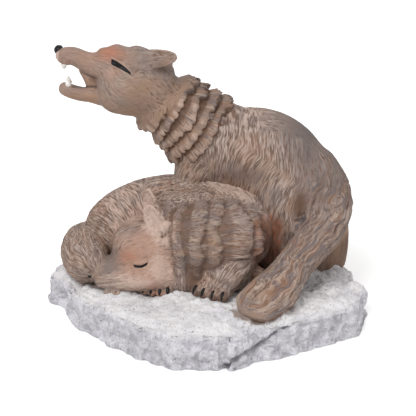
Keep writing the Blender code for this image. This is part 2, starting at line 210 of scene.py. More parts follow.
@dataclass
class Surface:
    """A closed grid of points: the second direction closes on itself, and poles close the two ends."""

    points: np.ndarray
    poles: tuple[np.ndarray, np.ndarray]

    def normals(self) -> np.ndarray:
        """Unit normals: the cross product of the grid's two directions, pointing out of the body."""
        down = np.gradient(self.points, axis=0)
        round_ = np.roll(self.points, -1, axis=1) - np.roll(self.points, 1, axis=1)
        normal = np.cross(round_, down)
        normal = normal / np.maximum(np.linalg.norm(normal, axis=2, keepdims=True), 1e-9)
        return normal * (-1 if self.turned() else 1)

    def turned(self) -> bool:
        """Whether the grid's own winding faces into the body."""
        down = np.gradient(self.points, axis=0)
        round_ = np.roll(self.points, -1, axis=1) - np.roll(self.points, 1, axis=1)
        middle = self.points.mean(axis=1, keepdims=True)
        return bool(np.sum(np.cross(round_, down) * (self.points - middle)) < 0)

    def push(self, height: np.ndarray) -> None:
        """Moves each point along its normal."""
        self.points = self.points + self.normals() * height[..., None]

    def faces(self) -> tuple[np.ndarray, np.ndarray, np.ndarray]:
        """Points, and the corners and sizes of the faces, all facing out."""
        rings, sides = self.points.shape[:2]
        ring = np.arange(rings * sides).reshape(rings, sides)
        nxt = np.roll(ring, -1, axis=1)
        quads = np.stack([ring[:-1], nxt[:-1], nxt[1:], ring[1:]], axis=-1).reshape(-1, 4)
        first = np.stack([nxt[0], ring[0], np.full(sides, rings * sides)], axis=-1)
        last = np.stack([ring[-1], nxt[-1], np.full(sides, rings * sides + 1)], axis=-1)
        fans = np.concatenate([first, last])
        if self.turned():
            quads, fans = quads[:, ::-1], fans[:, ::-1]
        loops = np.concatenate([quads.ravel(), fans.ravel()])
        sizes = np.concatenate([np.full(len(quads), 4), np.full(len(fans), 3)])
        return np.vstack([self.points.reshape(-1, 3), np.array(self.poles)]), loops, sizes


def meshed(name: str, surfaces: Sequence[Surface], scale: float) -> bpy.types.Mesh:
    """One mesh of several closed surfaces."""
    points, loops, sizes, count = [], [], [], 0
    for surface in surfaces:
        p, l, s = surface.faces()
        points.append(p)
        loops.append(l + count)
        sizes.append(s)
        count += len(p)
    corners, counts = np.concatenate(loops), np.concatenate(sizes)
    mesh = bpy.data.meshes.new(name)
    mesh.vertices.add(count)
    mesh.vertices.foreach_set("co", (np.vstack(points) * scale).astype(np.float32).ravel())
    mesh.loops.add(len(corners))
    mesh.loops.foreach_set("vertex_index", corners.astype(np.int32))
    mesh.polygons.add(len(counts))
    mesh.polygons.foreach_set("loop_start", np.concatenate([[0], np.cumsum(counts)[:-1]]).astype(np.int32))
    mesh.polygons.foreach_set("use_smooth", np.ones(len(counts), bool))
    mesh.update(calc_edges=True)
    return mesh


def piece_of(name: str, mesh: bpy.types.Mesh, paint: bpy.types.Material) -> bpy.types.Object:
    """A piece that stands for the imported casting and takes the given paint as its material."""
    mesh.materials.clear()
    mesh.materials.append(paint)
    piece = bpy.data.objects.new(name, mesh)
    bpy.context.scene.collection.objects.link(piece)
    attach(piece, BODY)
    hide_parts(NODE)
    return piece


@dataclass
class Skin:
    """One continuous skin, with what has been painted on it.

    Attributes:
        mesh: The mesh that carries it.
        points: Its points.
        quads: The corners of its faces.
        edges: The ends of its edges.
        paint: How much of each wash lies on each point.
        flow: Coordinates that are pressed together along the hairs.
    """

    mesh: bpy.types.Mesh
    points: np.ndarray
    quads: np.ndarray
    edges: np.ndarray
    paint: dict[str, np.ndarray] = field(default_factory=dict)
    flow: Optional[np.ndarray] = None

    @classmethod
    def melted(cls, name: str, surfaces: Sequence[Surface], cell: float) -> "Skin":
        """Melts closed surfaces that reach into one another into one skin.

        Args:
            name: The skin's name.
            surfaces: The surfaces.
            cell: Size of the skin's faces.

        Returns:
            The skin. Nothing is left of what lay inside another surface.
        """
        rough = meshed(name + "_parts", surfaces, 1.0)
        lump = bpy.data.objects.new(rough.name, rough)
        bpy.context.scene.collection.objects.link(lump)
        melt = lump.modifiers.new("melt", "REMESH")
        melt.mode = "VOXEL"
        melt.voxel_size = cell
        melt.use_smooth_shade = True
        graph = bpy.context.evaluated_depsgraph_get()
        mesh = bpy.data.meshes.new_from_object(lump.evaluated_get(graph))
        mesh.name = name
        bpy.data.objects.remove(lump)
        bpy.data.meshes.remove(rough)
        points = np.empty(len(mesh.vertices) * 3)
        mesh.vertices.foreach_get("co", points)
        loops = np.empty(len(mesh.loops), np.int32)
        mesh.loops.foreach_get("vertex_index", loops)
        edges = np.empty(len(mesh.edges) * 2, np.int32)
        mesh.edges.foreach_get("vertices", edges)
        return cls(mesh, points.reshape(-1, 3), loops.reshape(-1, 4), edges.reshape(-1, 2))

    def around(self, values: np.ndarray) -> np.ndarray:
        """The mean of each point's neighbours."""
        a, b = self.edges.T
        count = len(self.points)
        flat = values.reshape(count, -1)
        sums = [np.bincount(a, v[b], count) + np.bincount(b, v[a], count) for v in flat.T]
        valence = np.bincount(a, minlength=count) + np.bincount(b, minlength=count)
        return (np.stack(sums, axis=1) / valence[:, None]).reshape(values.shape)

    def relax(self, share: np.ndarray | float, rounds: int) -> None:
        """Draws points towards their neighbours, which rounds what is sharp.

        Args:
            share: How far each point goes in one round, 0 to 1.
            rounds: How often.
        """
        part = np.broadcast_to(share, len(self.points))[:, None]
        for _ in range(rounds):
            self.points = self.points + part * (self.around(self.points) - self.points)

    def normals(self) -> np.ndarray:
        """Unit normals: the sum of the neighbouring faces' own, each the cross product of its diagonals."""
        p = self.points[self.quads]
        face = np.cross(p[:, 2] - p[:, 0], p[:, 3] - p[:, 1])
        count = len(self.points)
        corners = self.quads.ravel()
        total = np.stack([np.bincount(corners, np.repeat(v, 4), count) for v in face.T], axis=1)
        return total / np.maximum(np.linalg.norm(total, axis=1, keepdims=True), 1e-12)

    def push(self, height: np.ndarray) -> None:
        """Moves each point along its normal."""
        self.points = self.points + self.normals() * height[:, None]

    def depth(self, rounds: int) -> np.ndarray:
        """How far each point lies below the form that the skin has when it is smoothed."""
        smooth = self.points
        for _ in range(rounds):
            smooth = smooth + 0.6 * (self.around(smooth) - smooth)
        return np.sum((smooth - self.points) * self.normals(), axis=1)

    def seen(self) -> tuple[np.ndarray, np.ndarray]:
        """Where each point stands for an eye in front that looks down at the lens's tilt: right, and up."""
        x, y, z = self.points.T
        return x, (z - LENS_HEIGHT) * math.cos(LENS_TILT) + y * math.sin(LENS_TILT)

    def add(self, name: str, value: np.ndarray | float) -> None:
        """Lays a wash over what is there: the larger of the two counts."""
        value = np.clip(np.broadcast_to(value, len(self.points)), 0, 1)
        self.paint[name] = np.maximum(self.paint.get(name, 0.0), value)

    def washed(self) -> None:
        """Darkens the hollows brown and paints the raised parts pale: the figurine's own wash and
        dry-brushing, and with them painted shade in the hollows and a painted highlight on the raised parts.
        """
        close, wide = self.depth(4), self.depth(24)
        sharp = 0.55 - 0.4 * np.asarray(self.paint.pop("soft", 0.0))
        # painted shade: dark brown in the hollows, near and wide, on top of the figurine's brown wash
        self.add("hollow", sharp * ramp(0.03, 0.16, close) + 0.6 * ramp(0.12, 0.6, wide))
        # painted highlight: pale over the raised parts, on top of the figurine's dry-brushing
        self.add("crest", 0.6 * ramp(0.02, 0.12, -close) + 0.35 * ramp(0.08, 0.5, -wide))

    def build(self, paint: bpy.types.Material, box: np.ndarray) -> bpy.types.Object:
        """Writes the points and the washes to the mesh and makes the piece.

        Args:
            paint: Its material.
            box: The two corners that it stays between.

        Returns:
            The piece.
        """
        if self.flow is not None:
            steps = np.linalg.norm(self.flow[self.edges[:, 0]] - self.flow[self.edges[:, 1]], axis=1)
            seam = np.zeros(len(self.points))
            seam[self.edges[steps > FLOW_STEP].ravel()] = 1.0
            self.paint["seam"] = seam
        points = np.clip(self.points, box[0] + MARGIN, box[1] - MARGIN)
        self.mesh.vertices.foreach_set("co", (points * MM).astype(np.float32).ravel())
        self.mesh.update()
        for kind, value in self.paint.items():
            layer = self.mesh.attributes.new(kind, "FLOAT", "POINT")
            layer.data.foreach_set("value", value.astype(np.float32))
        if self.flow is not None:
            layer = self.mesh.attributes.new("flow", "FLOAT_VECTOR", "POINT")
            layer.data.foreach_set("vector", self.flow.astype(np.float32).ravel())
        return piece_of(self.mesh.name, self.mesh, paint)


@dataclass(frozen=True)
class Coat:
    """How a limb's fur lies.

    Attributes:
        flow: Which way the hairs run.
        stretch: How many times longer than wide the locks are.
        wave: How far the hairs wander sideways.
    """

    flow: Flow = Flow.ALONG
    stretch: float = 7.0
    wave: float = 1.5


@dataclass(frozen=True)
class Place:
    """Where points lie on a limb.

    Attributes:
        at: Distance along the spine.
        angle: Angle round the section: 0 to one side, a quarter turn on top.
        gap: About how far a point is from the skin, negative inside.
        share: How much a point belongs to this limb, 0 to 1.
    """

    at: np.ndarray
    angle: np.ndarray
    gap: np.ndarray
    share: np.ndarray


@dataclass(frozen=True)
class Limb:
    """A closed skin over oval sections along a smooth spine.

    Attributes:
        name: The limb's name.
        rows: Stations of x, y, z, half width, height above the spine and depth below it.
        top: The way that the upper side of the sections faces.
        blunt: Lengths over which the two ends round off.
        coat: The fur.
        rings: Points along the spine.
        sides: Points round a section.
    """

    name: str
    rows: tuple[Row, ...]
    top: Row = (0, 0, 1)
    blunt: tuple[float, float] = (4, 4)
    coat: Coat = Coat()
    rings: int = 70
    sides: int = 70

    @property
    def length(self) -> float:
        """Length of the spine, from station to station."""
        return float(np.linalg.norm(np.diff(np.array(self.rows)[:, :3], axis=0), axis=1).sum())

    @property
    def radius(self) -> float:
        """The mean radius of the sections."""
        return float(np.mean(np.array(self.rows)[:, 3:]))

    def read(self, at: np.ndarray) -> np.ndarray:
        """The stations read at distances along the spine, by cubics that pass through them smoothly."""
        rows = np.array(self.rows, float)
        knots = np.concatenate([[0.0], np.cumsum(np.linalg.norm(np.diff(rows[:, :3], axis=0), axis=1))])
        slopes = np.gradient(rows, knots, axis=0)
        i = np.clip(np.searchsorted(knots, at, side="right") - 1, 0, len(knots) - 2)
        h = (knots[i + 1] - knots[i])[:, None]
        t = (at - knots[i])[:, None] / h
        start = (2 * t**3 - 3 * t**2 + 1) * rows[i] + (t**3 - 2 * t**2 + t) * h * slopes[i]
        return start + (3 * t**2 - 2 * t**3) * rows[i + 1] + (t**3 - t**2) * h * slopes[i + 1]

    def frame(self, at: np.ndarray) -> tuple[np.ndarray, np.ndarray, np.ndarray, np.ndarray]:
        """Stations, and the unit vectors along the spine, across it and up from it."""
        read = self.read(at)
        along = np.gradient(read[:, :3], at, axis=0)
        along /= np.linalg.norm(along, axis=1, keepdims=True)
        top = np.array(self.top, float)
        up = top - (along @ top)[:, None] * along
        up /= np.linalg.norm(up, axis=1, keepdims=True)
        return read, along, np.cross(along, up), up

    def surface(self, start: float = 0.0, end: Optional[float] = None) -> Surface:
        """The skin: centre + width cos(angle) across + height sin(angle) up, rounded off at both ends.

        Args:
            start: Distance along the spine where the skin starts.
            end: Distance where it ends, or none for the whole limb.

        Returns:
            The bare surface. The rounding is the square root of 1 - (1 - distance / blunt)^2.
        """
        end = self.length if end is None else end
        share = np.arange(1, self.rings) / self.rings
        at = start + (end - start) * (0.8 * share + 0.1 * (1 - np.cos(math.pi * share)))
        angle = 2 * math.pi * np.arange(self.sides) / self.sides
        read, _, across, up = self.frame(at)
        first = 1 - np.clip(1 - at / self.blunt[0], 0, 1) ** 2
        last = 1 - np.clip(1 - (self.length - at) / self.blunt[1], 0, 1) ** 2
        taper = np.sqrt(first * last)[:, None]
        wide = read[:, 3:4] * taper * np.cos(angle)
        high = np.where(np.sin(angle) > 0, read[:, 4:5], read[:, 5:6]) * taper * np.sin(angle)
        grid = read[:, None, :3] + wide[..., None] * across[:, None] + high[..., None] * up[:, None]
        ends = self.read(np.array([start, end]))[:, :3]
        return Surface(grid, (ends[0], ends[1]))

    def locate(self, points: np.ndarray) -> tuple[np.ndarray, np.ndarray, np.ndarray]:
        """Where points lie on this limb.

        Args:
            points: The points.

        Returns:
            Distance along the spine, angle, and gap. The gap is (1 - 1 / rho) times the distance from
            the spine, where rho is that distance as a share of the section's radius that way.
        """
        steps = np.linspace(0.0, self.length, 150)
        read, along, across, up = self.frame(steps)
        centres = read[:, :3]
        far = (centres**2).sum(1) - 2 * points @ centres.T
        near = far.argmin(axis=1)
        off = points - centres[near]
        x, y = (off * across[near]).sum(1), (off * up[near]).sum(1)
        lead = (off * along[near]).sum(1)
        height = np.where(y > 0, read[near, 4], read[near, 5])
        past = np.where((near == 0) | (near == len(steps) - 1), lead, 0.0)
        reach = np.sqrt((x / read[near, 3]) ** 2 + (y / height) ** 2 + (past / 2.0) ** 2)
        away = np.sqrt(x**2 + y**2 + past**2)
        gap = away * (1 - 1 / np.maximum(reach, 1e-3))
        return steps[near] + lead, np.arctan2(y / height, x / read[near, 3]), gap

    def combed(self, points: np.ndarray, place: Place) -> np.ndarray:
        """Coordinates of the points that are pressed together along this limb's hairs."""
        coat, r = self.coat, self.radius
        wander = np.stack([noise(points, 5.0, 70 + k) - 0.5 for k in range(3)], axis=1) * coat.wave
        if coat.flow is Flow.HANGING:
            x, y, z = points.T
            below = np.clip(RIDGE_TOP - z - RIDGE_FALL * np.clip(x - 5, 0, None), 0, None)
            slant = 8.0 * ramp(-2, 24, x) * np.exp(-below / 14)
            return np.stack([x - slant, y / 7, z / coat.stretch], axis=1) + wander * (0.55, 0.2, 0.1)
        ring = np.stack([np.cos(place.angle), np.sin(place.angle)], axis=1) * r
        if coat.flow is Flow.ALONG:
            return np.column_stack([ring + wander[:, :2], place.at / coat.stretch])
        return np.column_stack([place.at + wander[:, 0], ring / coat.stretch])


def places(limbs: Sequence[Limb], points: np.ndarray) -> dict[str, Place]:
    """Where points lie on each of the limbs, and how much they belong to each."""
    found = [limb.locate(points) for limb in limbs]
    gaps = np.stack([gap for _, _, gap in found])
    weights = ramp(2.0, 0.0, gaps - gaps.min(axis=0))
    weights = weights / weights.sum(axis=0)
    return {limb.name: Place(*where, weights[k]) for k, (limb, where) in enumerate(zip(limbs, found))}


def meeting(found: Sequence[Place]) -> np.ndarray:
    """How far off the second nearest of some limbs is: little where two of them meet."""
    return np.abs(np.sort(np.stack([place.gap for place in found]), axis=0)[1])


def groomed(
    limbs: Sequence[Limb], found: dict[str, Place], points: np.ndarray, stray: np.ndarray | float = 0.0
) -> tuple[np.ndarray, np.ndarray]:
    """Lays each point's hair the way it lies on the limb that the point belongs to.

    Args:
        limbs: The limbs.
        found: Where the points lie on them.
        points: The points.
        stray: How far every other limb's border wanders.

    Returns:
        The limb's number, and the flow of its hair.
    """
    shares = [found[limb.name].share + stray * (k % 2) for k, limb in enumerate(limbs)]
    owner = np.argmax(np.stack(shares), axis=0)
    ways = [limb.combed(points, found[limb.name]) for limb in limbs]
    return owner, np.choose(owner[:, None], ways)


@dataclass(frozen=True)
class Tiers:
    """Fur in overlapping collars, each with a ragged free edge of tufts.

    Attributes:
        start: Distance along the spine of the first collar's root.
        pitch: Distance from one free edge to the next.
        count: How many collars.
        lift: How far a free edge stands out.
        tufts: How many tufts each free edge has.
        tuft: Length of a tuft.
        groove: How deep the grooves between the tufts are, as a share of the lift.
        drop: Over what length an edge falls off.
        valley: How wide the hollow behind an edge is, as a share of the pitch.
    """

    start: float
    pitch: float
    count: int
    lift: float
    tufts: int
    tuft: float
    groove: float = 0.5
    drop: float = 0.9
    valley: float = 0.1

    def over(self, limb: Limb, place: Place, strength: np.ndarray, seed: int) -> tuple[np.ndarray, ...]:
        """The collars over a limb.

        Each collar swells from its root to its free edge by a smooth step, and drops there into a
        hollow. The edge wanders, and a tuft adds 1 - |2t - 1|^2.4 to it over its width t. Where
        collars overlap, the higher one shows.

        Args:
            limb: The limb.
            place: Where the points lie on it.
            strength: How much of the lift there is at each point.
            seed: Which pattern.

        Returns:
            The height, and how near a point is to a free edge.
        """
        at, turn = place.at, place.angle / (2 * math.pi) * self.tufts
        ring = np.stack([np.cos(place.angle) * limb.radius, np.sin(place.angle) * limb.radius], axis=1)
        height, tip = np.zeros_like(at), np.zeros_like(at)
        for k in range(self.count):
            here = np.column_stack([ring, np.full(len(at), 40.0 * k)])
            wobble = noise(here, 6.0, seed) - 0.5
            across = turn + 0.5 * k + 2.0 * wobble
            which = np.floor(across).astype(np.int64) % self.tufts
            share = np.abs(2 * (across - np.floor(across)) - 1)
            long = 0.1 + 1.3 * scatter(which, np.int64(k), np.int64(0), seed + 2)
            side = np.sin(place.angle)
            hang = self.tuft * (0.6 + 1.9 * ramp(-0.45, -0.9, side) + 0.5 * ramp(0.5, 0.9, side))
            edge = self.start + self.pitch * (k + 1) + hang * (long * (1 - share**2.4) - 0.4)
            edge = edge + 4.0 * (noise(here, 9.0, seed + 1) - 0.5)
            edge = edge + 1.4 * (noise(here, 2.0, seed + 3) - 0.5)
            root = self.start + self.pitch * (k + self.valley)
            rise = ramp(0.0, 0.75, (at - root) / (edge - root)) * ramp(edge + self.drop, edge - 0.2, at)
            broken = 0.5 * (noise(here + at[:, None], 1.3, seed + 5) - 0.5) * ramp(0.5, 0.9, side)
            lift = self.lift * strength * (0.7 + 0.6 * noise(here, 3.0, seed + 4) + broken)
            mine = lift * (1 - self.groove * share**2) * rise
            higher = mine > height
            tip = np.where(higher, np.exp(-np.abs(at - edge)) * (rise > 0.3), tip)
            height = np.maximum(height, mine)
        return height, tip


# paints


class Wire:
    """A shader value that takes part in ordinary arithmetic."""

    def __init__(self, tree: bpy.types.NodeTree, socket: bpy.types.NodeSocket) -> None:
        self.tree = tree
        self.socket = socket

    def node(
        self, kind: str, settings: dict[str, object], sockets: dict[object, object], out: object = 0
    ) -> "Wire":
        """Adds a node.

        Args:
            kind: The node's type.
            settings: Its properties.
            sockets: Its inputs, each a wire or a value.
            out: Which output to hand back.

        Returns:
            The wire from that output.
        """
        made = self.tree.nodes.new(kind)
        for name, value in settings.items():
            setattr(made, name, value)
        for name, value in sockets.items():
            if isinstance(value, Wire):
                self.tree.links.new(value.socket, made.inputs[name])
            else:
                made.inputs[name].default_value = value
        return Wire(self.tree, made.outputs[out])

    def maths(self, operation: str, *others: object) -> "Wire":
        """One arithmetic node with this wire first."""
        return self.node("ShaderNodeMath", {"operation": operation}, dict(enumerate((self, *others))))

    def __add__(self, other: object) -> "Wire":
        return self.maths("ADD", other)

    def __sub__(self, other: object) -> "Wire":
        return self.maths("SUBTRACT", other)

    def __mul__(self, other: object) -> "Wire":
        return self.maths("MULTIPLY", other)

    def ramp(self, low: float, high: float) -> "Wire":
        """0 below low, 1 above high, smooth between."""
        sockets = {"Value": self, "From Min": low, "From Max": high}
        return self.node("ShaderNodeMapRange", {"interpolation_type": "SMOOTHSTEP"}, sockets)

    def over(self, under: object, colour: object) -> "Wire":
        """Lays a colour over another, with this wire as its cover."""
        mixed = {"data_type": "RGBA", "clamp_factor": True}
        return self.node("ShaderNodeMix", mixed, {0: self, 6: under, 7: colour}, 2)


def linear(red: float, green: float, blue: float) -> tuple[float, float, float, float]:
    """A colour as the eye reads it, 0 to 255, in the shader's linear light."""
    share = (red / 255.0, green / 255.0, blue / 255.0)
    return tuple(v / 12.92 if v <= 0.04045 else ((v + 0.055) / 1.055) ** 2.4 for v in share) + (1.0,)


@dataclass(frozen=True)
class Paint:
    """Base of the finishes: a material with one coated shader."""

    name: str
    roughness: float = 0.6

    def material(self) -> bpy.types.Material:
        """Makes the material and lets the finish wire its colour, roughness and relief."""
        made = bpy.data.materials.new(self.name)
        made.use_nodes = True
        tree = made.node_tree
        shader = tree.nodes["Principled BSDF"]
        shader.inputs["Roughness"].default_value = self.roughness
        shader.inputs["Specular IOR Level"].default_value = 0.25
        start = Wire(tree, shader.outputs[0])
        for name, value in self.inputs(start).items():
            tree.links.new(value.socket, shader.inputs[name])
        return made

    def inputs(self, start: Wire) -> dict[str, Wire]:
        """What feeds the shader."""
        raise NotImplementedError

    @staticmethod
    def laid(start: Wire, kind: str, out: str = "Fac") -> Wire:
        """An attribute of the surface: the cover of a wash, or the flow of the hairs."""
        return start.node("ShaderNodeAttribute", {"attribute_name": kind}, {}, out)

    @staticmethod
    def mottle(start: Wire, cell: float, detail: float = 2.0, rough: float = 0.55) -> Wire:
        """Noise in the object's own space, with cells of so many millimetres."""
        place = start.node("ShaderNodeTexCoord", {}, {}, "Object")
        sockets = {"Vector": place, "Scale": 1.0 / (cell * MM), "Detail": detail, "Roughness": rough}
        return start.node("ShaderNodeTexNoise", {}, sockets, "Fac")

    def streak(self, start: Wire, width: float, detail: float = 2.0, shift: float = 0.0) -> Wire:
        """Noise that follows the hairs, with streaks of so many millimetres. It is even along the seams."""
        flow = self.laid(start, "flow", "Vector")
        moved = start.node("ShaderNodeVectorMath", {"operation": "ADD"}, {0: flow, 1: (shift,) * 3})
        sockets = {"Vector": moved, "Scale": 1.0 / width, "Detail": detail, "Roughness": 0.6}
        strands = start.node("ShaderNodeTexNoise", {}, sockets, "Fac")
        return (strands - 0.5) * (self.laid(start, "seam") * -1.0 + 1.0) + 0.5

    @staticmethod
    def relief(start: Wire, height: Wire, depth: float, strength: float) -> Wire:
        """A bump of so many millimetres."""
        sockets = {"Height": height, "Distance": depth * MM, "Strength": strength}
        return start.node("ShaderNodeBump", {}, sockets, "Normal")


@dataclass(frozen=True)
class FurPaint(Paint):
    """Grey-brown dry-brushed fur: dark streaks, pale crests, and washes of brown, orange and charcoal. The
    pale crests are partly a painted highlight, and the dark brown of the hollows partly painted shade.
    """

    dark: tuple[float, float, float] = (110, 88, 77)
    body: tuple[float, float, float] = (150, 130, 119)
    light: tuple[float, float, float] = (194, 176, 166)

    def inputs(self, start: Wire) -> dict[str, Wire]:
        """Mixes the coat from streaks along the hairs, and lays each wash over it with a streaky edge."""
        fine, lock = self.streak(start, 0.45, 1.0), self.streak(start, 1.9, 2.0, 31.0)
        calm = self.laid(start, "calm")
        hair = (fine * 0.8 + lock * 0.25 - 0.525) * (calm * -0.65 + 1.15) + 0.5
        patches = self.mottle(start, 10.0, 3.0)
        colour = hair.ramp(0.37, 0.5).over(linear(*self.dark), linear(*self.body))
        colour = (hair.ramp(0.5, 0.64) * 0.8).over(colour, linear(*self.light))
        colour = (patches.ramp(0.48, 0.66) * 0.3).over(colour, linear(168, 130, 106))
        colour = (patches.ramp(0.5, 0.32) * 0.38).over(colour, linear(130, 121, 120))
        # pale crests: dry-brushed paint together with a painted highlight on the raised parts
        colour = (self.laid(start, "crest") * 0.6).over(colour, linear(194, 170, 154))
        brush = ((fine - 0.5) * 1.3 + (lock - 0.5) + (patches - 0.5) * 0.5) * (calm * -0.6 + 1.0)
        washes = (
            ("grey", 0.75, (118, 109, 107)),
            ("tan", 0.75, (160, 128, 104)),
            ("rose", 0.75, (182, 144, 125)),
            ("pale", 0.85, (205, 181, 167)),
            ("orange", 0.85, (182, 117, 90)),
            ("rust", 0.85, (112, 72, 50)),
            # hollow: dark brown wash in the hollows, partly painted shade
            ("hollow", 0.8, (88, 62, 48)),
            ("tip", 0.8, (70, 60, 60)),
        )
        for kind, cover, tone in washes:
            wash = self.laid(start, kind)
            brushed = (wash + brush * wash.ramp(0.02, 0.35)).ramp(0.05, 0.95)
            colour = (brushed * cover).over(colour, linear(*tone))
        dashes = self.streak(start, 0.65, 1.0, 91.0).ramp(0.6, 0.68) * (calm * -0.9 + 0.9)
        colour = (dashes * 0.55).over(colour, linear(92, 76, 70))
        lines = self.laid(start, "lines")
        for width, shift, low, high, cover, tone in (
            (1.9, 77.0, 0.5, 0.64, 0.6, (106, 99, 102)),
            (2.2, 13.0, 0.52, 0.66, 0.5, (142, 104, 80)),
            (1.3, 53.0, 0.6, 0.7, 0.5, (196, 178, 164)),
        ):
            line = lines * self.streak(start, width, 1.0, shift).ramp(low, high)
            colour = (line * cover).over(colour, linear(*tone))
        black = self.laid(start, "black")
        colour = black.ramp(0.35, 0.65).over(colour, linear(20, 18, 20))
        grain = self.mottle(start, 0.6, 2.0, 0.7)
        return {
            "Base Color": colour,
            "Roughness": (black * -0.3 + fine * -0.1) + 0.7,
            "Normal": self.relief(start, fine + lock * 0.5 + grain * 0.25, 0.35, 0.75),
        }


@dataclass(frozen=True)
class SnowPaint(Paint):
    """Granular snow over pale grey rock, with dark grit, a few orange grains, and brown on the snow along the
    wolves that is partly a stain and partly painted contact shadow.
    """

    def inputs(self, start: Wire) -> dict[str, Wire]:
        """White where the snow lies, lavender grey down the wall, speckled all over."""
        snow = self.laid(start, "snow")
        grain = self.mottle(start, 0.9, 4.0, 0.75)
        lumps = self.mottle(start, 4.0, 4.0, 0.6)
        wall = lumps.ramp(0.35, 0.68).over(linear(198, 196, 203), linear(240, 238, 244))
        colour = snow.over(wall, linear(252, 250, 251))
        colour = (grain.ramp(0.54, 0.66) * 0.75).over(colour, linear(252, 251, 250))
        colour = (grain.ramp(0.44, 0.32) * (snow * -0.4 + 0.75)).over(colour, linear(140, 134, 140))
        sugar = self.mottle(start, 0.55, 2.0, 0.8)
        colour = (sugar.ramp(0.46, 0.34) * 0.34).over(colour, linear(182, 179, 191))
        grit = self.mottle(start, 1.2, 2.0, 0.9)
        colour = (grit.ramp(0.63, 0.68) * 0.7).over(colour, linear(100, 92, 90))
        rust = self.mottle(start, 1.9, 2.0, 0.9)
        colour = (rust.ramp(0.66, 0.71) * 0.5).over(colour, linear(190, 146, 110))
        colour = (self.laid(start, "crack") * 0.75).over(colour, linear(92, 86, 90))
        # brown along the limbs that lie on the snow: partly a stain, partly painted contact shadow
        stain_and_shade = (self.laid(start, "stain_and_shade") + (grain - 0.5) * 0.9).ramp(0.15, 0.75)
        colour = (stain_and_shade * 0.8).over(colour, linear(140, 116, 100))
        return {
            "Base Color": colour,
            "Roughness": grain * -0.2 + 0.85,
            "Normal": self.relief(start, grain + lumps * 0.6 + sugar * 0.4, 0.8, 0.9),
        }


@dataclass(frozen=True)
class PlainPaint(Paint):
    """One flat brushed colour."""

    colour: tuple[float, float, float] = (24, 22, 23)

    def inputs(self, start: Wire) -> dict[str, Wire]:
        """The colour, a little uneven."""
        uneven = self.mottle(start, 1.5, 3.0)
        lighter = tuple(min(255.0, c * 1.3 + 10) for c in self.colour)
        return {
            "Base Color": uneven.ramp(0.4, 0.75).over(linear(*self.colour), linear(*lighter)),
            "Normal": self.relief(start, uneven, 0.15, 0.3),
        }


@dataclass(frozen=True)
class Palette:
    """The paints of the whole figurine, and the box that it stays in."""

    fur: bpy.types.Material
    snow: bpy.types.Material
    black: bpy.types.Material
    teeth: bpy.types.Material
    box: np.ndarray

    @classmethod
    def mixed(cls, box: np.ndarray) -> "Palette":
        """Makes each paint once."""
        return cls(
            FurPaint("fur paint").material(),
            SnowPaint("snow paint", 0.8).material(),
            PlainPaint("black paint", 0.32, (26, 24, 26)).material(),
            PlainPaint("tooth paint", 0.35, (226, 222, 214)).material(),
            box,
        )

    def small(self, limb: Limb, slot: Slot) -> bpy.types.Object:
        """A small separate dab of black or white."""
        paint = self.black if slot is Slot.BLACK else self.teeth
        return piece_of(limb.name, meshed(limb.name, [limb.surface()], MM), paint)


@dataclass(frozen=True)
class Ear:
    """A leaf-shaped ear, cupped on one side.

    Attributes:
        name: The ear's name.
        root: The middle of its root.
        along: The way from root to tip.
        outer: The way that its cupped side faces.
        length: From root to tip.
        width: Where it is broadest.
        thickness: Of the shell at its middle.
        tip: How broad it is at its tip, as a share of its width.
        cup: How deep its hollow is, as a share of its thickness.
    """

    name: str
    root: Row
    along: Row
    outer: Row
    length: float
    width: float
    thickness: float
    tip: float = 0.22
    cup: float = 0.5

    def limb(self) -> Limb:
        """The ear's limb: width and thickness fall along it."""
        way = np.array(self.along) / np.linalg.norm(self.along)
        ending = (1.0, self.tip, 0.45)
        shares = ((-0.25, 0.75, 1.3), (0, 1.0, 1.2), (0.35, 1.05, 1.0), (0.7, 0.78, 0.8), ending)
        wide, deep = self.width / 2, self.thickness / 2
        root = np.array(self.root)
        rows = tuple(
            (*(root + way * self.length * t), wide * w, deep * k, deep * k) for t, w, k in shares
        )
        return Limb(self.name, rows, self.outer, (2, 1.6), Coat(Flow.ALONG, 5, 0.5), 60, 60)

    def surface(self) -> Surface:
        """The ear, with its rims bent to the outer side and a hollow between them."""
        skin = self.limb().surface()
        rings, sides = skin.points.shape[:2]
        share = (np.arange(1, rings + 1) / (rings + 1))[:, None]
        angle = (2 * math.pi * np.arange(sides) / sides)[None]
        outer = np.array(self.outer) / np.linalg.norm(self.outer)
        bend = np.cos(angle) ** 2 * self.width * 0.14 * ramp(0.1, 0.5, share) * ramp(1.1, 0.7, share)
        skin.points += bend[..., None] * outer
        cup = ramp(0.2, 0.95, np.sin(angle)) * ramp(0.15, 0.4, share) * ramp(1.0, 0.75, share)
        skin.push(-self.cup * self.thickness * cup)
        return skin


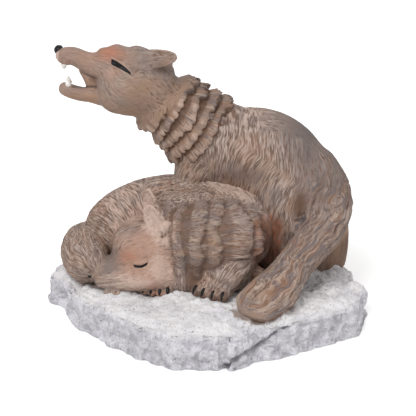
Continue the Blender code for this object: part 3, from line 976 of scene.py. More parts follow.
@dataclass(frozen=True)
class Paw:
    """A paw with four toes and black claws.

    Attributes:
        name: The paw's name.
        rows: Stations from the wrist to the toes' roots.
        toe: How long the toes are.
        claws: Whether claws show.
    """

    name: str
    rows: tuple[Row, ...]
    toe: float = 5.0
    claws: bool = True

    def limbs(self) -> list[Limb]:
        """The palm and its four toes."""
        palm = Limb(self.name, self.rows, (0, 0, 1), (3, 2.5), Coat(Flow.ALONG, 5, 0.8))
        toes = []
        for k, (foot, ahead, wide) in enumerate(self.roots(palm)):
            rows = tuple(
                (*(foot + ahead * self.toe * t - (0, 0, 1.6 * t * t)), wide * w, wide * w, wide * w)
                for t, w in ((0, 0.9), (0.5, 1.0), (1, 0.72))
            )
            toes.append(Limb(f"{self.name}_toe_{k}", rows, (0, 0, 1), (1, 1.4), palm.coat, 20, 24))
        return [palm, *toes]

    def roots(self, palm: Limb) -> list[tuple[np.ndarray, np.ndarray, float]]:
        """Where each toe starts, which way it points, and how wide it is."""
        read, along, across, _ = palm.frame(np.array([palm.length - 2.6, palm.length - 2.5]))
        found = []
        for share in (-0.72, -0.25, 0.25, 0.72):
            ahead = along[1] * (1, 1, 0.4) + across[1] * share * 0.28
            foot = read[1, :3] + across[1] * read[1, 3] * share * 0.95 + ahead * (0.8 - 1.2 * abs(share))
            found.append((foot + (0, 0, 0.4), ahead / np.linalg.norm(ahead), read[1, 3] * 0.31))
        return found

    def clawed(self, palette: Palette) -> None:
        """One claw to each toe, curving down to the snow."""
        for k, (foot, ahead, wide) in enumerate(self.roots(self.limbs()[0])):
            start = foot + ahead * (self.toe - 2.2) + (0, 0, 0.55 * wide)
            rows = tuple(
                (*(start + ahead * 2.9 * t - (0, 0, 2.0 * t * t)), r, r * 1.15, r)
                for t, r in ((0, 0.7), (0.4, 0.8), (0.75, 0.6), (1, 0.2))
            )
            claw = Limb(f"{self.name}_claw_{k}", rows, (0, 0, 1), (0.6, 0.4), Coat(), 12, 12)
            palette.small(claw, Slot.BLACK)


# the howling wolf


@dataclass(frozen=True)
class HowlingWolf:
    """The wolf that sits behind, with its head raised and its jaws apart.

    The front skin takes the trunk up to neck_end and the rear one from rear_start, both distances
    along its spine. The tilt is how far the head's coordinates lean towards the lens.
    """

    palette: Palette
    tilt: float = LENS_TILT
    neck_end: int = 44
    rear_start: float = 29
    ruff: Tiers = Tiers(8.5, 5.5, 5, 2.5, 20, 1.2, 0.2, 1.7, 0.34)
    trunk: Limb = Limb(
        "trunk",
        (
            (-30, 32, 88, 10.7, 10.6, 11.4),
            (-21, 33, 80, 11.8, 11.6, 11.2),
            (-13, 33.5, 75, 12.6, 12.8, 13.2),
            (-4, 34, 68, 13.9, 14.7, 15.8),
            (7, 34.5, 60, 15.9, 17.3, 18.6),
            (24, 34, 52, 17.6, 21.6, 20),
            (35, 32, 37, 18.9, 21.3, 20),
            (38.5, 30, 23, 18.1, 19.9, 20),
            (38.5, 30, 6, 16.7, 18.7, 18),
        ),
        (0.6, 0, 0.8),
        (8, 5),
        Coat(Flow.HANGING, 9, 0.7),
        110,
        100,
    )
    skull: Limb = Limb(
        "skull",
        (
            (-60.6, 31, 97.5, 2.3, 1.6, 2.8),
            (-58, 31, 98.6, 3.4, 2.8, 4.1),
            (-54, 31, 98.7, 4.2, 3.3, 4.0),
            (-49, 31, 96.8, 4.8, 3.4, 4.6),
            (-45, 31, 95.2, 6.2, 4.1, 5.6),
            (-41.5, 31, 93.7, 9.0, 8.0, 7.6),
            (-36, 31, 90.6, 11.4, 13.4, 14.4),
            (-30, 31.5, 88, 12.6, 14.0, 14.6),
            (-24, 32, 85, 12.2, 13.5, 13),
            (-17, 33, 80, 11.0, 11.1, 11.1),
        ),
        (0, 0.37, 0.93),
        (2.2, 6),
        Coat(Flow.ALONG, 6, 2.0),
        90,
        80,
    )
    jaw: Limb = Limb(
        "jaw",
        (
            (-59.6, 31, 86.2, 2.4, 1.9, 2.4),
            (-57, 31, 84.9, 3.6, 2.4, 3.0),
            (-52, 31, 83.1, 4.1, 2.6, 3.2),
            (-47, 31, 82.3, 4.8, 2.8, 3.3),
            (-42, 31, 82.2, 6.6, 4.0, 4.8),
            (-35, 31, 84, 8.4, 6.0, 6.9),
        ),
        (0, 0.37, 0.93),
        (2, 3),
        Coat(Flow.ALONG, 6, 1.5),
    )
    web: Limb = Limb(
        "web",
        ((-51.0, 31, 93.9, 2.0, 1.5, 3.2), (-47.4, 31, 89, 2.7, 2.4, 5), (-45.3, 31, 83.5, 3.2, 2.8, 5)),
        (-1, 0, 0),
        (2, 2),
        Coat(Flow.ALONG, 6, 1.0),
    )
    tail: Limb = Limb(
        "tail",
        (
            (43, 30, 60, 6.0, 5.4, 5.4),
            (48.8, 21.5, 47, 8.2, 7.0, 7.0),
            (48.5, 13.5, 39, 9.2, 7.0, 7.0),
            (44.6, 6, 32.5, 8.6, 6.6, 6.8),
            (38.4, -1.5, 27.8, 7.4, 6.4, 6.8),
            (34, -7, 24.5, 6.8, 6.4, 7.2),
            (29.6, -14.5, 21.3, 7.8, 6.4, 8.0),
            (23.6, -23, 18.8, 9.6, 6.0, 8.0),
            (17.5, -29.5, 16.8, 9.2, 4.6, 6.2),
            (13.0, -33.0, 15.4, 6.6, 3.2, 4.4),
        ),
        (0, 0, 1),
        (5, 5),
        Coat(Flow.ALONG, 9, 3.0),
        100,
        80,
    )
    chest: Limb = Limb(
        "chest",
        (
            (-13, 33, 74, 9, 8, 8),
            (-7, 34.5, 60, 12.5, 8, 7.6),
            (-6.5, 35, 44, 12.5, 7.5, 7.4),
            (-6, 35, 20, 11, 7, 6.6),
        ),
        (1, 0, 0),
        (3, 3),
        Coat(Flow.HANGING, 9, 0.7),
    )
    haunches: tuple[Limb, ...] = tuple(
        Limb(
            f"haunch_{side}",
            ((33.5, y, 56, 6.3, 10.6, 10.6), (32.5, y, 34, 11.3, 15, 15), (34, y, 10, 8.6, 11.2, 13.5)),
            (1, 0, 0),
            (11, 6),
            Coat(Flow.HANGING, 9, 0.7),
        )
        for side, y in (("near", 20), ("far", 41.5))
    )
    forelegs: tuple[Limb, ...] = tuple(
        Limb(
            f"foreleg_{side}",
            (
                (-2, y, 57, 7.4, 7.7, 7.7),
                (-7.5, y, 46, 6.6, 6.9, 6.9),
                (-8.5, y, 29, 4.7, 5, 5),
                (-8.5, y, 11, 4.7, 4.7, 4.7),
            ),
            (1, 0, 0),
            (4, 3),
            Coat(Flow.ALONG, 7, 1.2),
        )
        for side, y in (("near", 27), ("far", 43))
    )
    paws: tuple[Paw, ...] = (
        *(
            Paw(
                f"howler_forepaw_{side}",
                ((-5, y, 15.4, 4.6, 3.9, 3.75), (-9, y, 15.2, 5.6, 4.1, 4.9), (-13, y, 14.4, 5.2, 3.4, 4.2)),
                4.5,
            )
            for side, y in (("near", 27), ("far", 43))
        ),
        Paw(
            "howler_hind_paw",
            ((33, 47, 16, 5.2, 4.5, 4.9), (24, 48, 15.6, 5.75, 4.1, 4.9), (16, 48, 14.6, 5.5, 3.4, 4.2)),
            4.5,
        ),
    )
    ears: tuple[Ear, ...] = tuple(
        Ear(
            f"ear_{name}",
            (-25.4, HEAD_Y + side * 6.0, 95.6 - side * 2.6),
            (0.985, 0.05 * side, 0.13),
            (0.1, side * 0.92, 0.36 * (1 if side < 0 else -1)),
            length,
            7.6,
            5.0,
            0.4,
            0.3,
        )
        for side, name, length in ((-1, "near", 13.4), (1, "far", 12.0))
    )

    def face(self, skin: Skin) -> tuple[np.ndarray, np.ndarray, np.ndarray]:
        """Head coordinates in the lens's view: along the muzzle, up, and off the head's middle in depth."""
        x, y, z = skin.points.T
        y, z = y - HEAD_Y, z - HEAD_Z
        up = y * math.sin(self.tilt) + z * math.cos(self.tilt)
        return x, up, np.abs(y * math.cos(self.tilt) - z * math.sin(self.tilt))

    def front(self) -> Skin:
        """Head, neck and ruff: melted, then given their features, collars and hair.

        Returns:
            The skin, ready for its last washes.
        """
        bare = [self.skull.surface(), self.jaw.surface(), self.web.surface()]
        bare += [self.trunk.surface(0, self.neck_end), *(ear.surface() for ear in self.ears)]
        skin = Skin.melted("howler_front", bare, cell=0.36)
        skin.relax(0.5, 2)
        limbs = [self.skull, self.jaw, self.web, self.trunk, *(ear.limb() for ear in self.ears)]
        found = places(limbs, skin.points)
        joint = meeting([found[name] for name in ("skull", "trunk", "ear_near", "ear_far")])
        back = ramp(-34, -28, skin.points[:, 0])
        skin.relax(0.6 * back * ramp(5, 1, joint), 45)
        self.shaped(skin)
        x = skin.points[:, 0]
        trunk = found["trunk"]
        over = np.sin(trunk.angle)
        strength = 0.66 + 0.4 * ramp(0.55, 0.95, over) + 0.5 * ramp(-0.55, -0.95, over)
        strength = strength * ramp(-1.0, 2.2, found["skull"].gap)
        height, tip = self.ruff.over(self.trunk, trunk, strength, 40)
        neck = ramp(0, 2.5, found["skull"].gap) * ramp(1, 8, trunk.at)
        _, along, _, _ = self.trunk.frame(np.linspace(0, self.neck_end, self.neck_end + 1))
        lean = along[np.clip(trunk.at, 0, self.neck_end).astype(int)]
        skin.push(height - 2.2 * ramp(37.5, 40.0, trunk.at) * neck)
        skin.points = skin.points + lean * (0.55 * height)[:, None]
        _, flow = groomed(limbs, found, skin.points)
        ring = np.stack([np.cos(trunk.angle), np.sin(trunk.angle)], axis=1) * 13
        skin.flow = np.where((neck > 0.4)[:, None], np.column_stack([ring, trunk.at / 5]), flow)
        muzzle = ramp(-41, -46, x)
        fine = hairs(skin.flow, 1.6, 5)
        skin.push((0.12 + 0.5 * neck) * (1 - 0.8 * muzzle) * (fine - 0.5))
        low = ramp(1.3, 0.3, height)
        skin.add("tip", 0.95 * tip * ramp(0.5, 0.9, over) * neck)
        # rust and dark brown in the low valleys behind the ruff's collars: brown paint together with painted
        # shade
        skin.add("rust", 0.4 * low * neck * ramp(8, 12, trunk.at))
        skin.add("hollow", 0.75 * low * neck * ramp(8, 12, trunk.at))
        skin.add("lines", 0.75 * neck * ramp(0.3, 1.0, height))
        skin.add("tan", 0.8 * found["web"].share)
        skin.add("rust", 0.3 * found["web"].share * ramp(-50, -46, x))
        skin.add("grey", (0.42 + 0.3 * ramp(0.2, 0.9, over)) * neck * ramp(0.8, 1.4, height))
        crown = neck * ramp(1.0, 1.5, height) * ramp(0.9, 0.5, over)
        skin.add("pale", crown * (0.2 + 0.5 * noise(skin.points, 3.0, 97)))
        skin.add("soft", neck)
        return skin

    def shaped(self, skin: Skin) -> None:
        """Brow, eye and lips, as relief over the melted head and as paint."""
        x, up, out = self.face(skin)
        brow = 1.9 * spot(x, up, (-42.4, 9.6), (2.7, 3.6)) + 1.7 * spot(x, up, (-36.8, 12.0), (3.4, 4.2))
        brow = brow - 0.9 * hump(x, -30.6, 2.6) * ramp(6, 10, up)
        socket = -spot(x, up, (-34.8, 2.2), (5.0, 2.4)) * ramp(3, 6, out)
        cheek = 0.9 * spot(x, up, (-31, -6), (6, 5)) * ramp(3, 7, out)
        skin.push(brow + socket + cheek)
        slit = up - (2.9 - 0.62 * (x + 34.2) - 0.035 * (x + 34.2) ** 2)
        within = ramp(-38.5, -37.7, x) * ramp(-29.8, -30.8, x) * ramp(3, 5, out)
        thick = 0.5 + 0.6 * ramp(-30, -34, x) * ramp(-39.8, -37.7, x)
        eye = ramp(thick + 0.2, thick - 0.2, np.abs(slit)) * within
        lid = (hump(slit, 1.4, 0.6) + 0.7 * hump(slit, -1.4, 0.7)) * within
        skin.push(0.5 * lid - 0.4 * eye)
        skin.add("black", eye)
        skin.add("orange", 0.72 * spot(x, up, (-38.6, 8.0), (6.2, 4.4)) * ramp(0.0, 4, out))
        skin.add("calm", 0.35 + 0.65 * ramp(-18, -27, x))
        skin.add("tan", 0.6 * ramp(-40, -30, x) * ramp(3, -5, up))
        skin.add("hollow", 0.35 * spot(x, up, (-18, 2), (5, 4)) + 0.16 * ramp(-42, -32, x))
        skin.add("rose", 0.45 * spot(x, up, (-38, 0.5), (5, 3)) + 0.45 * ramp(-38, -50, x))
        skin.add("tan", 0.9 * ramp(-42, -46, x) * ramp(-5.6, -8.5, up))
        skin.add("tan", 0.55 * ramp(-8, -14, up) * ramp(-22, -30, x))
        skin.add("pale", 0.8 * ramp(-58.6, -59.8, x) * ramp(2, 5, up))
        skin.add("grey", 0.3 * spot(x, up, (-25, 8), (7, 6)))
        lip = up + 0.42 * (x + 48) - 0.2
        lined = ramp(-57.5, -56, x) * ramp(-42.5, -45, x) * ramp(1.5, 3, out)
        skin.add("tip", 0.75 * hump(lip, 0, 0.5) * lined)
        skin.add("tip", 0.85 * hump(up, -4.3, 0.6) * ramp(-55.5, -54, x) * ramp(-43, -45, x))
        skin.add("rust", 0.55 * spot(x, up, (-45.2, -1.4), (2.4, 2.2)))
        skin.add("hollow", 0.5 * spot(x, up, (-29.5, 2.0), (2.6, 1.6)) * ramp(3, 6, out))

    def rear(self) -> Skin:
        """Torso, chest, legs and tail, melted, with their hair.

        Returns:
            The skin, ready for its last washes.
        """
        limbs = [self.trunk, self.chest, self.tail, *self.haunches, *self.forelegs]
        paws = [limb for paw in self.paws for limb in paw.limbs()]
        bare = [self.trunk.surface(self.rear_start), *(limb.surface() for limb in [*limbs[1:], *paws])]
        skin = Skin.melted("howler_rear", bare, cell=0.53)
        found = places(limbs, skin.points)
        joint = meeting(list(found.values()))
        skin.relax(0.5, 1)
        high = ramp(20, 24, skin.points[:, 2])
        tail = found["tail"]
        low = ramp(55, 75, tail.at) * tail.share
        skin.relax(MELTING * ramp(7, 2, joint) * high * (1 - low), 90)
        right, up = skin.seen()
        facing = ramp(0.0, 0.4, -skin.normals()[:, 1])
        oval = facing * spot(right, up, (37.4, 0.5), (3.6, 10))
        skin.push(-1.1 * oval)
        owner, flow = groomed(limbs, found, skin.points)
        ridge = found["trunk"]
        border = 0.86 + 0.3 * (noise(skin.points, 4.0, 90) - 0.5)
        top = (owner == 0) & (np.sin(ridge.angle) > border) & (ridge.at > 55)
        ring = np.stack([np.cos(ridge.angle), np.sin(ridge.angle)], axis=1) * 19
        flow = np.where(top[:, None], np.column_stack([ring, ridge.at / 4]), flow)
        nearly = ramp(4.5, 1.5, tail.gap)
        brushed = self.tail.combed(skin.points, tail)
        border = 2.2 + 2.5 * (noise(skin.points, 5, 91) - 0.5)
        flow = np.where(((tail.gap < border) & (tail.at > 8))[:, None], brushed, flow)
        skin.flow = flow
        strand = hairs(brushed, 3.3, 21)
        coat = hairs(flow, 1.3, 3)
        on_tail = nearly * ramp(6, 22, tail.at)
        fading = ramp(self.tail.length, self.tail.length - 7, tail.at)
        skin.push(0.2 * (coat - 0.5) * (1 - on_tail) + 1.45 * (strand - 0.55) * on_tail * fading)
        skin.add("lines", on_tail * (0.55 + 0.45 * ramp(10, 40, tail.at)))
        x, _, z = skin.points.T
        crown = ramp(0.5, 0.95, np.sin(ridge.angle)) * ridge.share
        skin.add("grey", 0.6 * ramp(22, 44, x) * ramp(34, 62, z) + 0.35 * crown)
        # painted shade: dark brown in the oval dent between thigh and tail, and on the torso below the ruff's
        # last collar
        skin.add("hollow", 0.6 * oval + 0.5 * facing * spot(right, up, (13, 13.5), (11, 4)))
        skin.add("tip", 0.3 * ramp(24, 42, x) * ramp(40, 60, z) + 0.3 * on_tail * ramp(90, 40, tail.at))
        # painted shade: rust brown in the same dent between thigh and tail
        skin.add("rust", 0.35 * oval)
        corner = ramp(14, 18, right) * ramp(33, 27, right) * ramp(-33, -26, up) * ramp(1, -7, up)
        corner = corner * (1 - on_tail)
        patchy = corner * (0.25 + 1.2 * noise(skin.points, 1.5, 87))
        skin.add("orange", 0.7 * patchy)
        skin.add("rust", 0.75 * corner * (1.15 - 0.9 * noise(skin.points, 2.2, 86)))
        stripe = hump(tail.angle, 0.35, 0.22) * (0.3 + 0.7 * noise(skin.points, 5, 98))
        skin.add("pale", 0.75 * on_tail * stripe)
        skin.add("hollow", 0.6 * ramp(27, 20, z) * (1 - on_tail))
        ridged = ramp(0.4, 0.8, np.sin(ridge.angle)) * ridge.share * ramp(60, 70, z)
        skin.add("pale", 0.5 * ridged * ramp(34, 18, x) * ramp(0.3, 0.7, noise(skin.points, 2.5, 99)))
        skin.add("grey", 0.35 * ridged)
        skin.add("lines", 0.5 * ramp(18, 40, x) * ramp(40, 60, z) * (1 - on_tail))
        skin.add("tan", 0.45 * ramp(36, 22, x) * ramp(70, 52, z) * (0.4 + 0.6 * noise(skin.points, 8, 92)))
        skin.add("tan", 0.9 * ramp(45, 50, x) * ramp(44, 36, z) * (1 - on_tail))
        return skin

    def build(self) -> None:
        """Makes every piece of this wolf."""
        for skin in (self.front(), self.rear()):
            skin.washed()
            skin.build(self.palette.fur, self.palette.box)
        self.nose()
        for side, name in ((-1, "near"), (1, "far")):
            for tooth, x, up, long in (("lower", -55.8, -3.5, 3.0), ("upper", -57.4, 5.4, -2.2)):
                self.fang(f"howler_{tooth}_fang_{name}", x, up, 1.9 * side, long)

    def placed(self, x: float, up: float, out: float = 0.0) -> np.ndarray:
        """A point of the head's upright middle plane, so far up in the lens's view, moved out along Y."""
        return np.array([x, HEAD_Y + out, HEAD_Z + up / math.cos(self.tilt)])

    def fang(self, name: str, x: float, up: float, out: float, long: float) -> None:
        """A tapering cone from its foot."""
        foot = self.placed(x, up, out)
        way = self.placed(x - 0.12 * long, up + long, out) - foot
        rows = tuple((*(foot + way * t), r, r, r) for t, r in ((0, 1.3), (0.4, 1.1), (0.8, 0.6), (1, 0.25)))
        self.palette.small(Limb(name, rows, (1, 0, 0), (0.5, 0.3), Coat(), 12, 12), Slot.TEETH)

    def nose(self) -> None:
        """The nose pad at the muzzle's end."""
        rows = (
            (*self.placed(-57.6, 9.6, 1.0), 2.0, 1.8, 1.9),
            (*self.placed(-59.4, 9.8, 1.0), 2.4, 2.0, 2.4),
            (*self.placed(-61.3, 9.6, 1.0), 1.9, 1.6, 1.9),
        )
        top = (0, math.sin(self.tilt), math.cos(self.tilt))
        self.palette.small(Limb("howler_nose", rows, top, (1.4, 1.9), Coat(), 40, 40), Slot.BLACK)


# the sleeping wolf


@dataclass(frozen=True)
class SleepingWolf:
    """The wolf that lies curled in front, asleep on its paws."""

    palette: Palette
    bands: Tiers = Tiers(0.9, 5.9, 6, 1.9, 22, 1.0, 0.16, 1.8, 0.3)
    back: Limb = Limb(
        "back",
        (
            (-46, 12, 22, 8.5, 8.5, 10.2),
            (-39, 17, 27, 13, 13.9, 14.5),
            (-29, 22.5, 30.6, 14.9, 16.1, 17),
            (-14, 25.5, 31.5, 15.5, 17.5, 18),
            (2, 23.5, 31, 15.5, 17, 18),
            (12, 15, 30, 14.6, 16, 17),
            (14, 4, 28.5, 12.4, 13.9, 15.3),
        ),
        (0, 0, 1),
        (9, 7),
        Coat(Flow.AROUND, 8, 1.2),
    )
    shoulder: Limb = Limb(
        "shoulder",
        (
            (-19, 14, 29, 11, 13, 13),
            (-6, 13.5, 31, 13, 16.2, 15),
            (8, 12, 31, 13, 16, 15),
            (17, 9, 29, 10, 13.4, 13),
        ),
        (0, 0, 1),
        (6, 6),
        Coat(Flow.ALONG, 5, 2.4),
    )
    neck: Limb = Limb(
        "neck",
        (
            (-20, 6, 27.5, 10.2, 10.2, 10.9),
            (-12, 4, 29, 12.6, 13.5, 13.5),
            (-2, 2, 30, 14.1, 15.5, 15.2),
            (8, 2, 30, 14.1, 16, 15.5),
            (18, 6, 29, 11.3, 13.3, 13.3),
        ),
        (0, 0, 1),
        (6, 8),
        Coat(Flow.ALONG, 4, 1.2),
        90,
        90,
    )
    skull: Limb = Limb(
        "skull",
        (
            (-47.4, -2.0, 17.0, 2.5, 2.4, 2.6),
            (-45, -1.5, 17.8, 3.5, 3.6, 3.8),
            (-40, -0.6, 19.8, 4.7, 4.1, 5.0),
            (-36.5, 0.4, 21.4, 6.0, 4.6, 6.0),
            (-34.5, 0.8, 22.3, 7.2, 8.0, 6.8),
            (-31.5, 1.5, 23.7, 9.4, 11.6, 8.4),
            (-27, 2.5, 25.3, 11.6, 13.4, 10.8),
            (-21, 4, 26.6, 12.7, 13.4, 12.2),
            (-13, 5, 28, 12.0, 12.5, 12.2),
        ),
        (0, 0.1, 1),
        (2.5, 6),
        Coat(Flow.ALONG, 5, 1.6),
        90,
        80,
    )
    jowl: Limb = Limb(
        "jowl",
        (
            (-45.5, -3.2, 15.6, 2.6, 2.4, 2.4),
            (-40, -3.6, 16.2, 4.6, 3.8, 3.6),
            (-32, -3.8, 17.0, 7.0, 5.4, 4.6),
            (-24, -3.2, 18.2, 9.2, 7.6, 5.6),
            (-16, -1.4, 20, 10.0, 9.0, 7.6),
        ),
        (0, 0, 1),
        (2.5, 5),
        Coat(Flow.ALONG, 5, 1.6),
    )
    tail: Limb = Limb(
        "tail",
        (
            (-24, 40, 18, 5.2, 5.2, 7.6),
            (-37, 35, 19.5, 7.1, 6.8, 9),
            (-47, 25, 20.5, 8.7, 8.7, 9.5),
            (-50, 13, 22, 9.5, 10.3, 10),
            (-48, 4, 21, 9, 9, 9.5),
            (-44, -2, 17.5, 5.7, 5.2, 7.6),
        ),
        (0, 0, 1),
        (5, 4),
        Coat(Flow.ALONG, 7, 3.0),
    )
    foreleg: Limb = Limb(
        "foreleg",
        (
            (12, 2, 27, 8, 8, 8),
            (10, -4, 24, 8.6, 7.4, 7.6),
            (6.4, -9.5, 20.6, 8.4, 6.2, 6.4),
            (3.4, -13, 18, 7.4, 4.8, 5),
        ),
        (0, 0, 1),
        (4, 3),
        Coat(Flow.ALONG, 6, 1.4),
    )
    breast: Limb = Limb(
        "breast",
        (
            (-19, -1, 18, 6, 6, 5.6),
            (-11, -3, 18, 7.4, 7.2, 6.4),
            (-2, -4.5, 18, 8, 8, 6.4),
            (12, -2, 19, 8, 8.4, 7.2),
            (16, 3, 21, 7.2, 8.8, 8),
        ),
        (0, 0, 1),
        (4, 4),
        Coat(Flow.AROUND, 6, 1.6),
    )
    paws: tuple[Paw, ...] = (
        Paw(
            "sleeper_forepaw",
            ((6, -7, 20, 6.4, 4.6, 4.6), (3.2, -12, 17.6, 7.6, 4.2, 4.9), (1.2, -15.4, 15.8, 7.6, 3.2, 4.2)),
            5.2,
        ),
        Paw(
            "sleeper_tucked_paw",
            ((-19, -1, 14.6, 5, 3, 4), (-19.8, -6, 14.2, 6.0, 2.6, 4), (-20.4, -8.6, 13.8, 6.0, 2.2, 4)),
            4.4,
        ),
        Paw(
            "sleeper_hind_paw",
            ((-36, -5, 13.4, 3.4, 2, 3), (-37.5, -8.5, 13.0, 3.4, 1.7, 3), (-38, -10.5, 12.5, 3.0, 1.4, 2.6)),
            2.4,
            False,
        ),
    )
    ears: tuple[Ear, ...] = tuple(
        Ear(f"ear_{name}", root, along, outer, 11.4, 8.4, 3.6, 0.25, 0.35)
        for name, root, along, outer in (
            ("near", (-18.6, -3.0, 37.6), (-0.47, 0.16, 0.87), (-0.5, -0.82, 0.2)),
            ("far", (-21.4, 10.6, 38.6), (-0.22, 0.1, 0.97), (-0.75, -0.6, 0.0)),
        )
    )

    def skin(self) -> Skin:
        """The whole wolf, melted, with its bands of mane and its hair.

        Returns:
            The skin, ready for its last washes.
        """
        body = [self.back, self.shoulder, self.neck, self.skull]
        body += [self.jowl, self.tail, self.foreleg, self.breast]
        paws = [limb for paw in self.paws for limb in paw.limbs()]
        bare = [limb.surface() for limb in [*body, *paws]] + [ear.surface() for ear in self.ears]
        skin = Skin.melted("sleeper", bare, cell=0.45)
        skin.relax(0.5, 1)
        limbs = [*body, *(paw.limbs()[0] for paw in self.paws), *(ear.limb() for ear in self.ears)]
        found = places(limbs, skin.points)
        joint = meeting([found[limb.name] for limb in body])
        ear_gap = np.minimum(found["ear_near"].gap, found["ear_far"].gap)
        paw_gap = np.min([found[paw.name].gap for paw in self.paws], axis=0)
        soft = ramp(6, 2, joint) * ramp(0.2, 1.6, paw_gap) * ramp(-0.5, 1.0, ear_gap)
        x, _, z = skin.points.T
        soft = soft * (1 - 0.75 * ramp(2.5, 0.5, found["tail"].gap) * ramp(2.5, 0.5, found["back"].gap))
        soft = soft * (1 - 0.8 * ramp(-37, -40, x))
        skin.relax(MELTING * soft, 80)
        mane = found["neck"]
        head_gap = found["skull"].gap
        mane_top = ramp(0.3, 2.0, head_gap) * ramp(1.5, 0.2, mane.gap)
        mane_side = ramp(3.5, 1.0, mane.gap) * ramp(44, 38, z) * ramp(0.5, 2.5, head_gap)
        on_mane = np.maximum(mane_top, mane_side) * ramp(0.5, 2.0, found["foreleg"].gap)
        height, tip = self.bands.over(self.neck, mane, on_mane, 64)
        skin.push(height)
        skin.points = skin.points + (height * 0.5)[:, None] * (1, 0, 0)
        self.faced(skin, found)
        jitter = 0.7 * (noise(skin.points, 2.5, 93) - 0.5)
        _, flow = groomed(limbs, found, skin.points, jitter)
        spine = found["back"]
        ring = np.stack([np.cos(spine.angle), np.sin(spine.angle)], axis=1) * 16
        wander = np.stack([noise(skin.points, 4.0, 94 + k) - 0.5 for k in (0, 1)], axis=1)
        ridge = np.column_stack([ring + 1.4 * wander, spine.at / 3])
        top = ramp(39, 44, z) * ramp(-30, -20, x) * ramp(0.5, 2, found["skull"].gap) * (1 - on_mane)
        flow = np.where((top + jitter > 0.5)[:, None], ridge, flow)
        skin.flow = flow
        on_face = np.clip(found["skull"].share + found["jowl"].share, 0, 1)
        rough = 0.34 + 0.35 * top + 0.3 * found["tail"].share + 0.25 * found["foreleg"].share
        coat = hairs(flow, 1.7, 51)
        skin.push(rough * (1 - 0.7 * on_face) * (coat - 0.5))
        skin.add("tip", 0.5 * tip * on_mane + 0.55 * top * ramp(0.45, 0.2, coat))
        # dark brown and tan in the low ground between the mane's bands: brown paint together with painted
        # shade
        low = ramp(1.2, 0.3, height) * ramp(5, 9, mane.at) * on_mane
        skin.add("hollow", 0.6 * low)
        skin.add("tan", 0.3 * low)
        skin.add("lines", 0.6 * on_mane)
        skin.add("grey", 0.4 * ramp(0.8, 1.4, height) * ramp(36, 42, z))
        paw_skin = ramp(1.5, 0.3, paw_gap)
        right, up = skin.seen()
        left = ramp(-46, -38, right) * ramp(-14, -24, right) * ramp(-14, -6, up)
        skin.add("rose", 0.35 * left * ramp(11, 6, up) * (1 - on_mane))
        skin.add("pale", 0.55 * left * (1 - on_mane) * noise(skin.points, 6, 89))
        crest = 12.3 - 0.39 * (right + 3)
        skin.add("pale", 0.85 * ramp(crest - 4, crest - 1.5, up) * ramp(-8, 0, right) * ramp(21, 17, right))
        skin.add("orange", 0.7 * paw_skin * spot(right, up, (-20, -37), (8, 5)))
        # painted shade: dark brown under the mane, where it meets the snow, off the paws
        under_mane = ramp(-15, -26, up) * ramp(-12, -6, right) * ramp(12, 6, right)
        skin.add("hollow", 0.75 * under_mane * ramp(0.0, 2.0, found["foreleg"].gap) * (1 - paw_skin))
        skin.add("tan", 0.55 * spot(right, up, (2, -12), (14, 9)))
        corner = ramp(16, 19, right) * ramp(-32, -26, up) * ramp(0, -6, up)
        patchy = corner * (0.25 + 1.2 * noise(skin.points, 1.5, 85))
        skin.add("orange", 0.4 * patchy)
        skin.add("rust", 0.6 * corner * (1.15 - 0.9 * noise(skin.points, 2.2, 84)))
        skin.add("lines", 0.5 * corner)
        skin.add("soft", on_mane)
        skin.add("rust", 0.35 * ramp(16, 13, z) * (1 - 0.6 * paw_skin))
        skin.add("lines", 0.35 * found["tail"].share)
        return skin

    def faced(self, skin: Skin, found: dict[str, Place]) -> None:
        """Shut eye, nose bridge, mouth and cheek."""
        right, up = skin.seen()
        face = np.clip(found["skull"].share + found["jowl"].share, 0, 1)
        facing = ramp(0.0, 0.35, -skin.normals()[:, 1]) * face
        bend = right + 26.7
        slit = up + 23.0 - 0.11 * bend**2 - 0.1 * bend
        within = facing * ramp(-2.9, -2.2, bend) * ramp(3.3, 2.7, bend)
        eye = ramp(0.75, 0.35, np.abs(slit)) * within
        skin.push(0.5 * hump(slit, 1.1, 0.7) * within + 0.3 * hump(slit, -1.0, 0.6) * within - 0.35 * eye)
        skin.push(-0.8 * facing * spot(right, up, (-33.2, -19.5), (1.8, 3.4)))
        mouth = facing * hump(up + 29.4 - 0.12 * (right + 38), 0, 0.45)
        mouth = mouth * ramp(-45.5, -43.5, right) * ramp(-31, -35, right)
        skin.push(-0.4 * mouth)
        skin.add("black", eye)
        skin.add("tip", 0.45 * mouth + 0.9 * ramp(-43.6, -45.6, right) * face)
        skin.add("orange", 0.5 * facing * spot(right, up, (-31, -19), (5, 3.6)))
        skin.add("orange", 0.45 * facing * spot(right, up, (-22, -31), (5, 1.6)))
        skin.add("rose", 0.95 * facing * np.clip(spot(right, up, (-22.5, -20), (11, 11)) * 1.8, 0, 1))
        skin.add("pale", 0.65 * facing * np.clip(spot(right, up, (-30, -29.5), (11, 3.6)) * 1.3, 0, 1))
        skin.add("pale", 0.75 * facing * spot(right, up, (-18, -24), (6, 9)))
        bridge = -24.6 + 0.28 * (right + 40)
        bridge_top = ramp(bridge - 2.4, bridge - 0.6, up) * ramp(-14, -18, up)
        skin.add("grey", 0.72 * face * ramp(-32.5, -36, right) * bridge_top)
        skin.add("grey", 0.55 * face * spot(right, up, (-29, -9.5), (4.5, 5)))
        skin.add("calm", 0.7 * facing * ramp(-11, -16, right))
        for name in ("ear_near", "ear_far"):
            on_ear = ramp(1.2, 0.3, found[name].gap) * (up > -9)
            skin.add("pale", 0.9 * on_ear)
            skin.add("pale", 0.6 * ramp(5, 0.5, found[name].gap) * ramp(-3, -6, up))
            skin.add("soft", 1.2 * on_ear)
            skin.add("calm", 0.6 * on_ear)

